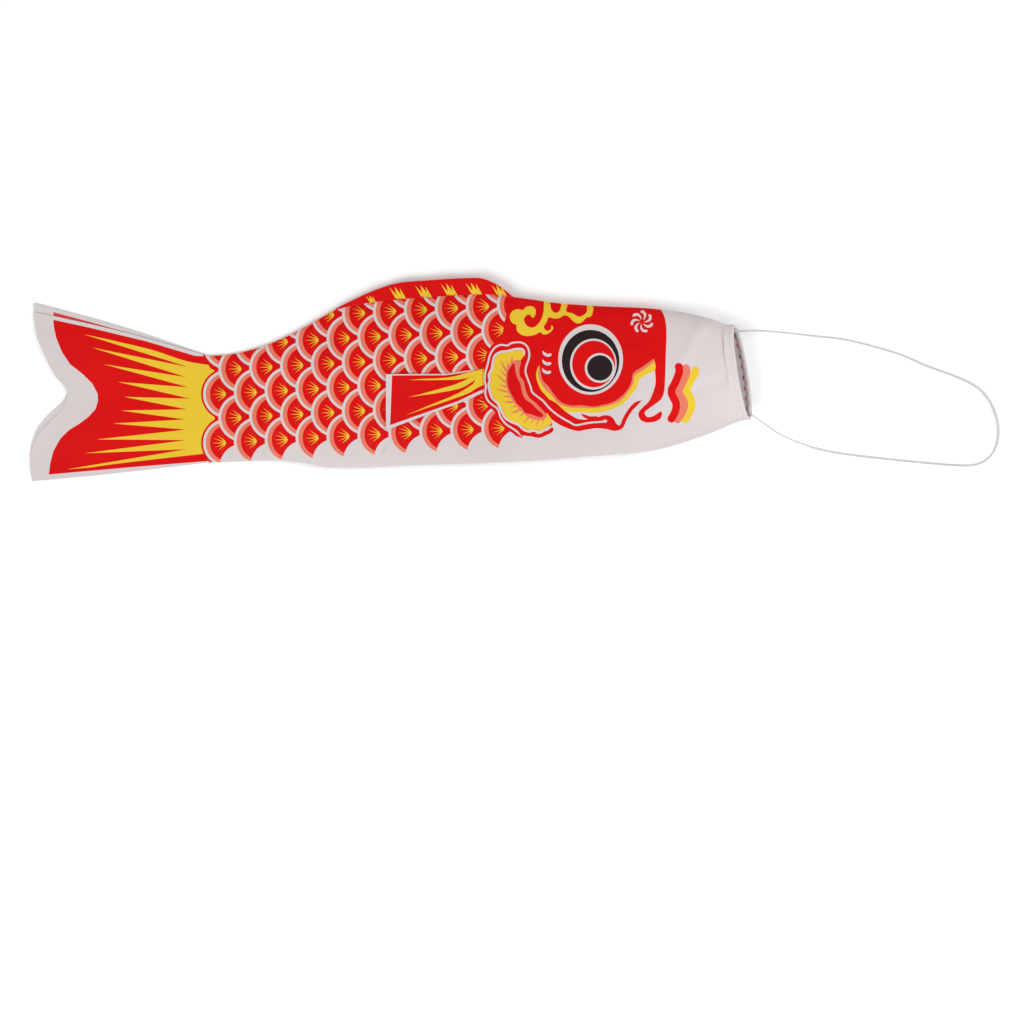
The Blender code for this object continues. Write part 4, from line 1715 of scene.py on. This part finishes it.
@dataclass
class BackFin:
    """The doubled red cloth fin caught in the back seam."""

    wardrobe: Wardrobe
    thickness: float = 0.42
    start: float = 0.242
    end: float = 0.585
    tuck: float = 0.1
    stitch_rise: float = 0.75
    stitches: int = 32
    stitch_clear: float = 0.03
    ripple_reach: float = 8.0
    bend: tuple[float, float] = (-0.4, 4.2)
    grid: Table = ((-34.0, 36.0), (72.0, 60.0))
    grid_step: float = 1.6
    ground: Table = ((-40.0, 30.0), (80.0, 70.0))
    flame: Table = (
        (-2.9, 0.0), (-6.4, 6.3), (-2.4, 2.0), (-3.5, 6.6), (0.1, 2.3), (-0.6, 5.8), (2.9, 0.0),
    )
    flames: Table = (
        (-9.8, 42.8, 0.62), (5.6, 45.0, 1.0), (19.9, 45.9, 1.0), (34.1, 46.9, 1.0),
        (47.8, 47.4, 1.0), (61.6, 46.8, 0.9),
    )

    def outline(self) -> np.ndarray:
        """The fin's cut: the back seam, then its free edge."""
        station = np.linspace(self.start, self.end, 96)
        base = FORM.seam(station, True, -self.tuck)
        edge = smooth_line(DORSAL_EDGE, 1.0)
        return np.vstack((base, edge[::-1][1:-1]))

    def printing(self) -> Print:
        """Red all over, with yellow flames standing on the seam."""
        cloth = Print()
        (left, low), (right, high) = self.ground
        cloth.add(Ink.RED, np.array(((left, low), (right, low), (right, high), (left, high))))
        for x, y, size in self.flames:
            cloth.add(Ink.YELLOW, straight_line(np.array(self.flame) * size + (x, y), 1.2))
        return cloth

    def stand(self, places: np.ndarray) -> np.ndarray:
        """Lift plan places to the fin's height, with a light ripple near its free edge."""
        x, y = places.T
        station = (x - FORM.root_x) / FORM.run
        out = np.clip(y - FORM.back(station), 0.0, self.ripple_reach) / self.ripple_reach
        z = FORM.seam_plane(station) + 0.35 * out * np.sin(0.3 * x) + 0.12 * out * np.sin(0.83 * x)
        return np.column_stack((places, z))

    def build(self) -> list[bpy.types.Object]:
        """Make the fin and its stitches.

        Returns:
            The fin and its run of stitches.
        """
        grid = grid_in(*self.grid, self.grid_step)
        fin, area = printed_cloth("back_fin_cloth", self.outline(), self.printing(), grid,
                                  self.stand, self.thickness, self.wardrobe.face)
        station = np.linspace(self.start + 0.014, self.end - 0.012, self.stitches)
        spots = self.stand(FORM.seam(station, True, -self.stitch_rise))
        ahead = np.gradient(spots, axis=0)
        up = np.array((0.0, 0.0, 1.0))
        proud = self.thickness / 2 + self.stitch_clear
        places = [stitch_place(spot + up * proud, forward, up)
                  for spot, forward in zip(spots, ahead)]
        stitch = Stitch(length=1.8, width=0.2)
        run = stitch.sew("back_fin_stitches", places, self.wardrobe.red_thread)
        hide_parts("dorsal_fin")
        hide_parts("dorsal_fin_thread")
        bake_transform(fin)
        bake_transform(run)
        return [fin, run]


@dataclass
class SideFins:
    """The two side fins, sewn on by their short edge and lying along the flanks."""

    wardrobe: Wardrobe
    body: BodyCloth
    thickness: float = 0.22
    clear: float = 0.42
    root_x: float = 50.8
    bend: float = 5.0
    stitch_x: float = 51.0
    stitched: tuple[float, float] = (-6.0, 4.7)
    stitches: int = 6
    skin_clear: float = 0.03
    tip_lift: float = 0.9
    tip_run: float = 46.0
    root_rise: tuple[float, float] = (49.0, 53.0)
    grid: Table = ((-4.0, -29.0), (54.0, 8.0))
    grid_step: float = 2.4

    def printing(self) -> Print:
        """Red with a yellow fan of rays, inside a white margin."""
        cloth = Print()
        cloth.add(Ink.RED, straight_line(FIN_RED))
        cloth.add(Ink.YELLOW, straight_line(FIN_RAYS, 1.2))
        return cloth

    def drape(self, places: np.ndarray, flank: Flank) -> np.ndarray:
        """Lay plan places on the flank, or flat between the lower flank and the floor.

        Args:
            places: Places in the plan, one row each.
            flank: Which flank the fin is sewn to.

        Returns:
            One row of x, y and z for each.
        """
        x, y = places.T
        if flank is Flank.LEFT:
            z = np.full(len(places), self.thickness / 2 + self.skin_clear)
            z += 0.12 * ease(*self.root_rise, x)
            return np.column_stack((places, z))
        z = self.body.raise_cloth(places, flank)[:, 2] + self.clear
        away = ease(0.0, self.tip_run, self.root_x - x)
        z += self.tip_lift * away**2 + 0.22 * away * np.sin(0.33 * y + 0.05 * x)
        return np.column_stack((places, z))

    def build(self) -> list[bpy.types.Object]:
        """Make both fins and the stitches that hold them.

        Returns:
            The fins and their stitches.
        """
        pieces = []
        for flank in Flank:
            word = flank.name.lower()
            grid = grid_in(*self.grid, self.grid_step)
            fin, area = printed_cloth(
                f"{word}_fin_cloth", straight_line(FIN_CLOTH, 1.2), self.printing(), grid,
                lambda places: self.drape(places, flank), self.thickness,
                self.wardrobe.face + self.wardrobe.reverse, flank is Flank.LEFT)
            low, high = self.stitched
            line = np.stack((np.full(self.stitches, self.stitch_x),
                             np.linspace(low, high, self.stitches)), axis=1)
            spots = self.drape(line, flank)
            up = np.array((0.0, 0.0, float(flank.value)))
            proud = self.thickness / 2 + self.skin_clear
            along_root = np.array((0.0, 1.0, 0.0))
            places = [stitch_place(spot + up * proud, along_root, up) for spot in spots]
            stitch = Stitch(length=1.7, width=0.26)
            run = stitch.sew(f"{word}_fin_stitches", places, self.wardrobe.red_thread)
            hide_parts(f"{word}_pectoral_fin")
            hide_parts(f"{word}_fin_thread")
            root_z = float(self.drape(np.array([(self.root_x, -0.9)]), flank)[0, 2]) * MM
            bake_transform(fin)
            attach(run, "front_body")
            pieces += [fin, run]
        return pieces


@dataclass
class Mouth:
    """The hooped mouth: a folded hem sewn round a nylon hoop, with both rows of its stitches."""

    wardrobe: Wardrobe
    thickness: float = 0.24
    hoop_in: float = 0.95
    stitch_behind: float = 2.9
    stitches: int = 20
    rings: int = 240
    pinch: float = 0.27
    pinch_run: float = 1.1
    fold_middle: float = 0.5
    fold_turn: tuple[float, float, int] = (-0.15, math.pi + 0.1, 9)
    free_run: float = 2.0
    outer_layer: float = 0.4
    most_cloth: float = 0.0017
    section: Table = (
        (0.0, 5.9), (0.0, 5.2), (0.08, 4.3), (0.26, 3.4), (0.34, 2.9), (0.24, 2.4), (0.06, 1.7),
    )
    inner_section: Table = (
        (1.86, 1.5), (1.5, 2.1), (0.98, 2.6), (0.78, 2.9), (0.74, 3.4), (0.62, 4.3), (0.5, 5.1),
        (0.46, 5.6),
    )

    def even_angles(self, count: int, shift: float = 0.0) -> np.ndarray:
        """Angles that space places evenly round the rim.

        Args:
            count: How many places.
            shift: Where the first one is, as a share of the spacing.

        Returns:
            The angles.
        """
        fine = np.linspace(0.0, math.tau, 1441)
        line = FORM.rim(fine, 0.0, 0.0)
        reach = reaches(line)
        wanted = (np.arange(count) + shift) / count * reach[-1]
        return np.interp(wanted, reach, fine)

    def build_hem(self) -> bpy.types.Object:
        """Carry the folded hem's section round the rim.

        Returns:
            The hem's cloth.
        """
        turn = np.linspace(*self.fold_turn)
        arc = self.hoop_in * np.stack((1 - np.cos(turn), 1 - np.sin(turn)), axis=1)
        section = np.vstack((self.section, arc, self.inner_section))
        inward, behind = section.T
        near = np.exp(-((behind - self.stitch_behind) / self.pinch_run) ** 2)
        inner = inward > self.outer_layer
        free = ease(0.0, self.free_run, self.section[0][1] - behind) * inner
        angles = self.even_angles(self.rings)
        turns = math.tau * np.arange(self.rings) / self.rings * self.stitches
        corners = []
        for angle, place in zip(angles, turns):
            swell = self.pinch * (1 - math.cos(place))
            wander = 0.07 * math.sin(place * 0.6) + 0.05 * math.sin(place * 1.7)
            moved = inward + (inward - self.fold_middle) * swell * near + wander * free
            corners.append(FORM.rim(np.full(len(section), angle), moved, behind))
        corners = np.vstack(corners)
        count = len(section)
        faces = []
        for ring in range(self.rings):
            here, there = ring * count, (ring + 1) % self.rings * count
            faces += [(here + k + 1, there + k + 1, there + k, here + k) for k in range(count - 1)]
        return new_piece("mouth_hem_cloth", corners, faces, [self.wardrobe.face[0]])

    def build(self) -> list[bpy.types.Object]:
        """Make the hem, sew it, and dress the hoop inside it.

        Returns:
            The hem and its two rows of stitches.
        """
        hem = self.build_hem()
        thicken(hem, self.thickness)
        rows = []
        for word, inward, sign, thread, shift, stitch in (
                ("inner", 0.95, -1.0, self.wardrobe.red_thread, 0.5, Stitch(2.4, 0.8)),
                ("outer", 0.17, 1.0, self.wardrobe.white_thread, 0.0, Stitch(2.3, 0.34))):
            places = []
            for angle in self.even_angles(self.stitches, shift):
                spot = FORM.rim(angle, inward, self.stitch_behind)
                ahead = FORM.rim(angle + 0.02, inward, self.stitch_behind) - spot
                out = FORM.rim(angle, inward - 0.5, self.stitch_behind) - spot
                places.append(stitch_place(spot, ahead, out * sign))
            rows.append(stitch.sew(f"mouth_{word}_stitches", places, thread))
        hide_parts("mouth_hem")
        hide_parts("mouth_hem_thread")
        for piece, slot in zip((hem, *rows), ("plain_cloth", "red_thread", "white_thread")):
            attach(piece, "front_body")
        hoop = frame["nodes"]["mouth_stiffener"]
        for place in hoop.material_slots:
            place.material = self.wardrobe.nylon
        return [hem, *rows]


@dataclass
class Bridle:
    """The white bridle cord and the two knots that tie it inside the corners of the mouth."""

    wardrobe: Wardrobe
    diameter: float = 1.0
    knot: float = 2.2
    gap: float = 0.3
    floor_clear: float = 0.02
    strands: int = 3
    twist_pitch: float = 4.2
    pulled_tight: float = 0.92
    knot_size: float = 0.31
    knot_turn: tuple[float, float, int] = (0.35, math.tau - 0.1, 64)
    knot_step: float = 0.2
    path_step: float = 0.55
    mesh_step: float = 0.28

    def knot_centre(self, node: str) -> np.ndarray:
        """The middle of a knot, in millimetres."""
        low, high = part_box(node)
        return (np.array(low) + np.array(high)) / 2 / MM

    def route(self) -> np.ndarray:
        """The cord's middle line in millimetres, from the back knot to the belly knot."""
        route = np.array(BRIDLE_ROUTE) / MM
        ends = []
        for node, near in (("back_tie_knot", route[0]), ("belly_tie_knot", route[-1])):
            centre = self.knot_centre(node)
            ends.append(centre + unit(near - centre) * (self.knot / 2 + self.gap))
        line = smooth_line([ends[0], *route, ends[1]], self.path_step)
        line[:, 2] = np.maximum(line[:, 2], self.diameter / 2 + self.floor_clear)
        return line

    def build_knot(self, name: str, node: str, leave: np.ndarray) -> bpy.types.Object:
        """Tie an overhand knot where the cord meets the hem.

        Args:
            name: The piece's name.
            node: The knot that it replaces.
            leave: Where the cord leaves the knot.

        Returns:
            The knot, with its short cut end.
        """
        centre = self.knot_centre(node)
        away = unit(leave - centre)
        side = unit(np.cross(away, (0.0, 0.0, 1.0)))
        up = np.cross(side, away)
        turn, size = np.linspace(*self.knot_turn), self.knot_size
        x = size * (np.sin(turn) + 2 * np.sin(2 * turn))
        y = size * (np.cos(turn) - 2 * np.cos(2 * turn))
        z = -size * 1.15 * np.sin(3 * turn)
        loop = centre + np.outer(x, side) + np.outer(y, away) + np.outer(z, up)
        tail = loop[-1] + np.array(
            [side * 0.5 * k - away * 0.55 * k - up * 0.12 * k * k for k in (1, 2, 3)])
        lead = np.array([leave + away * 0.6, leave, leave - away * 0.5 + up * 0.1])
        line = smooth_line(np.vstack((lead, loop[::4], loop[-1:], tail)), self.knot_step)
        radii = np.full(len(line), self.diameter / 2 * self.pulled_tight)
        turns = len(line) * self.knot_step / self.twist_pitch
        return tube(name, line, radii, 10, self.strands, turns, self.wardrobe.cord)

    def build(self) -> list[bpy.types.Object]:
        """Make the cord and both knots.

        Returns:
            The cord and the knots.
        """
        line = self.route()
        length = float(np.linalg.norm(np.diff(line, axis=0), axis=1).sum())
        turns = length / self.twist_pitch
        fine = smooth_line(line, self.mesh_step)
        cord = tube("bridle_line", fine, np.full(len(fine), self.diameter / 2), 12, self.strands,
                    turns, self.wardrobe.cord)
        knots = [
            self.build_knot("back_knot", "back_tie_knot", line[0]),
            self.build_knot("belly_knot", "belly_tie_knot", line[-1]),
        ]
        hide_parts("bridle_cord")
        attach(cord, "bridle")
        for piece, node in zip(knots, ("back_tie_knot", "belly_tie_knot")):
            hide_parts(node)
            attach(piece, "front_body")
        LOG.info("bridle length %.1f mm", length)
        return [cord, *knots]


@dataclass(frozen=True)
class Studio:
    """A pale floor, soft light and the camera straight above."""

    centre: tuple[float, float] = (67.2, -73.3)
    aim_x: float = 120.0
    height: float = 3948.0
    lens: float = 250.0
    sensor: float = 36.0
    sky: float = 0.5
    floor_size: float = 6.0
    floor_drop: float = 0.2
    lamps: Table = (
        # each lamp's place, size and power
        (-640.0, -640.0, 900.0, 900.0, 11.5), (1000.0, 420.0, 1200.0, 700.0, 5.5),
        (900.0, -20.0, 300.0, 300.0, 1.5), (262.0, 0.0, 140.0, 70.0, 0.05),
    )

    def build(self) -> None:
        """Set up the floor, the light and the camera."""
        deselect()
        bpy.ops.mesh.primitive_grid_add(x_subdivisions=4, y_subdivisions=4, size=self.floor_size,
                                        location=(0.0, 0.0, -self.floor_drop * MM))
        floor = bpy.context.object
        floor.name = "floor"
        bpy.ops.object.transform_apply(location=True, rotation=False, scale=False)
        paint = Nodes("pale_floor")
        paint.colour(paint.noise(40.0, 2.0), (0.97, 0.97, 0.97), (0.95, 0.95, 0.95))
        paint.set({"Roughness": 0.9})
        floor.data.materials.append(paint.material)

        world = bpy.data.worlds.new("soft_room")
        world.use_nodes = True
        background = world.node_tree.nodes["Background"]
        background.inputs["Color"].default_value = (1.0, 1.0, 1.0, 1.0)
        background.inputs["Strength"].default_value = self.sky
        bpy.context.scene.world = world
        for x, y, z, size, power in self.lamps:
            place = Vector((x, y, z)) * MM
            bpy.ops.object.light_add(type="AREA", location=place)
            lamp = bpy.context.object
            lamp.data.size = size * MM
            lamp.data.energy = power
            lamp.visible_camera = False
            aim = Vector((self.aim_x * MM, 0.0, 0.0)) - place
            lamp.rotation_euler = aim.to_track_quat("-Z", "Y").to_euler()
        place = (self.centre[0] * MM, self.centre[1] * MM, self.height * MM)
        bpy.ops.object.camera_add(location=place, rotation=(0.0, 0.0, 0.0))
        camera = bpy.context.object
        camera.data.lens = self.lens
        camera.data.sensor_width = self.sensor
        bpy.context.scene.camera = camera
        bpy.context.scene.view_settings.view_transform = "Standard"
        deselect()


def report(title: str, pieces: list[bpy.types.Object]) -> None:
    """Log what was made.

    Args:
        title: The sub-assembly's name.
        pieces: Its pieces.
    """
    for piece in pieces:
        LOG.info("%s: %s, %d faces", title, piece.name, len(piece.data.polygons))


def main() -> None:
    """Build the streamer, sub-assembly by sub-assembly."""
    logging.basicConfig(level=logging.INFO, format="%(message)s")
    Studio().build()
    wardrobe = Wardrobe().fill()
    report("bridle", Bridle(wardrobe).build())
    body = BodyCloth(wardrobe)
    report("body", body.build(body_print()))
    report("seams", SeamStitches(wardrobe, body).build())
    report("back fin", BackFin(wardrobe).build())
    report("side fins", SideFins(wardrobe, body).build())
    report("mouth", Mouth(wardrobe).build())


if __name__ == "__main__":
    main()
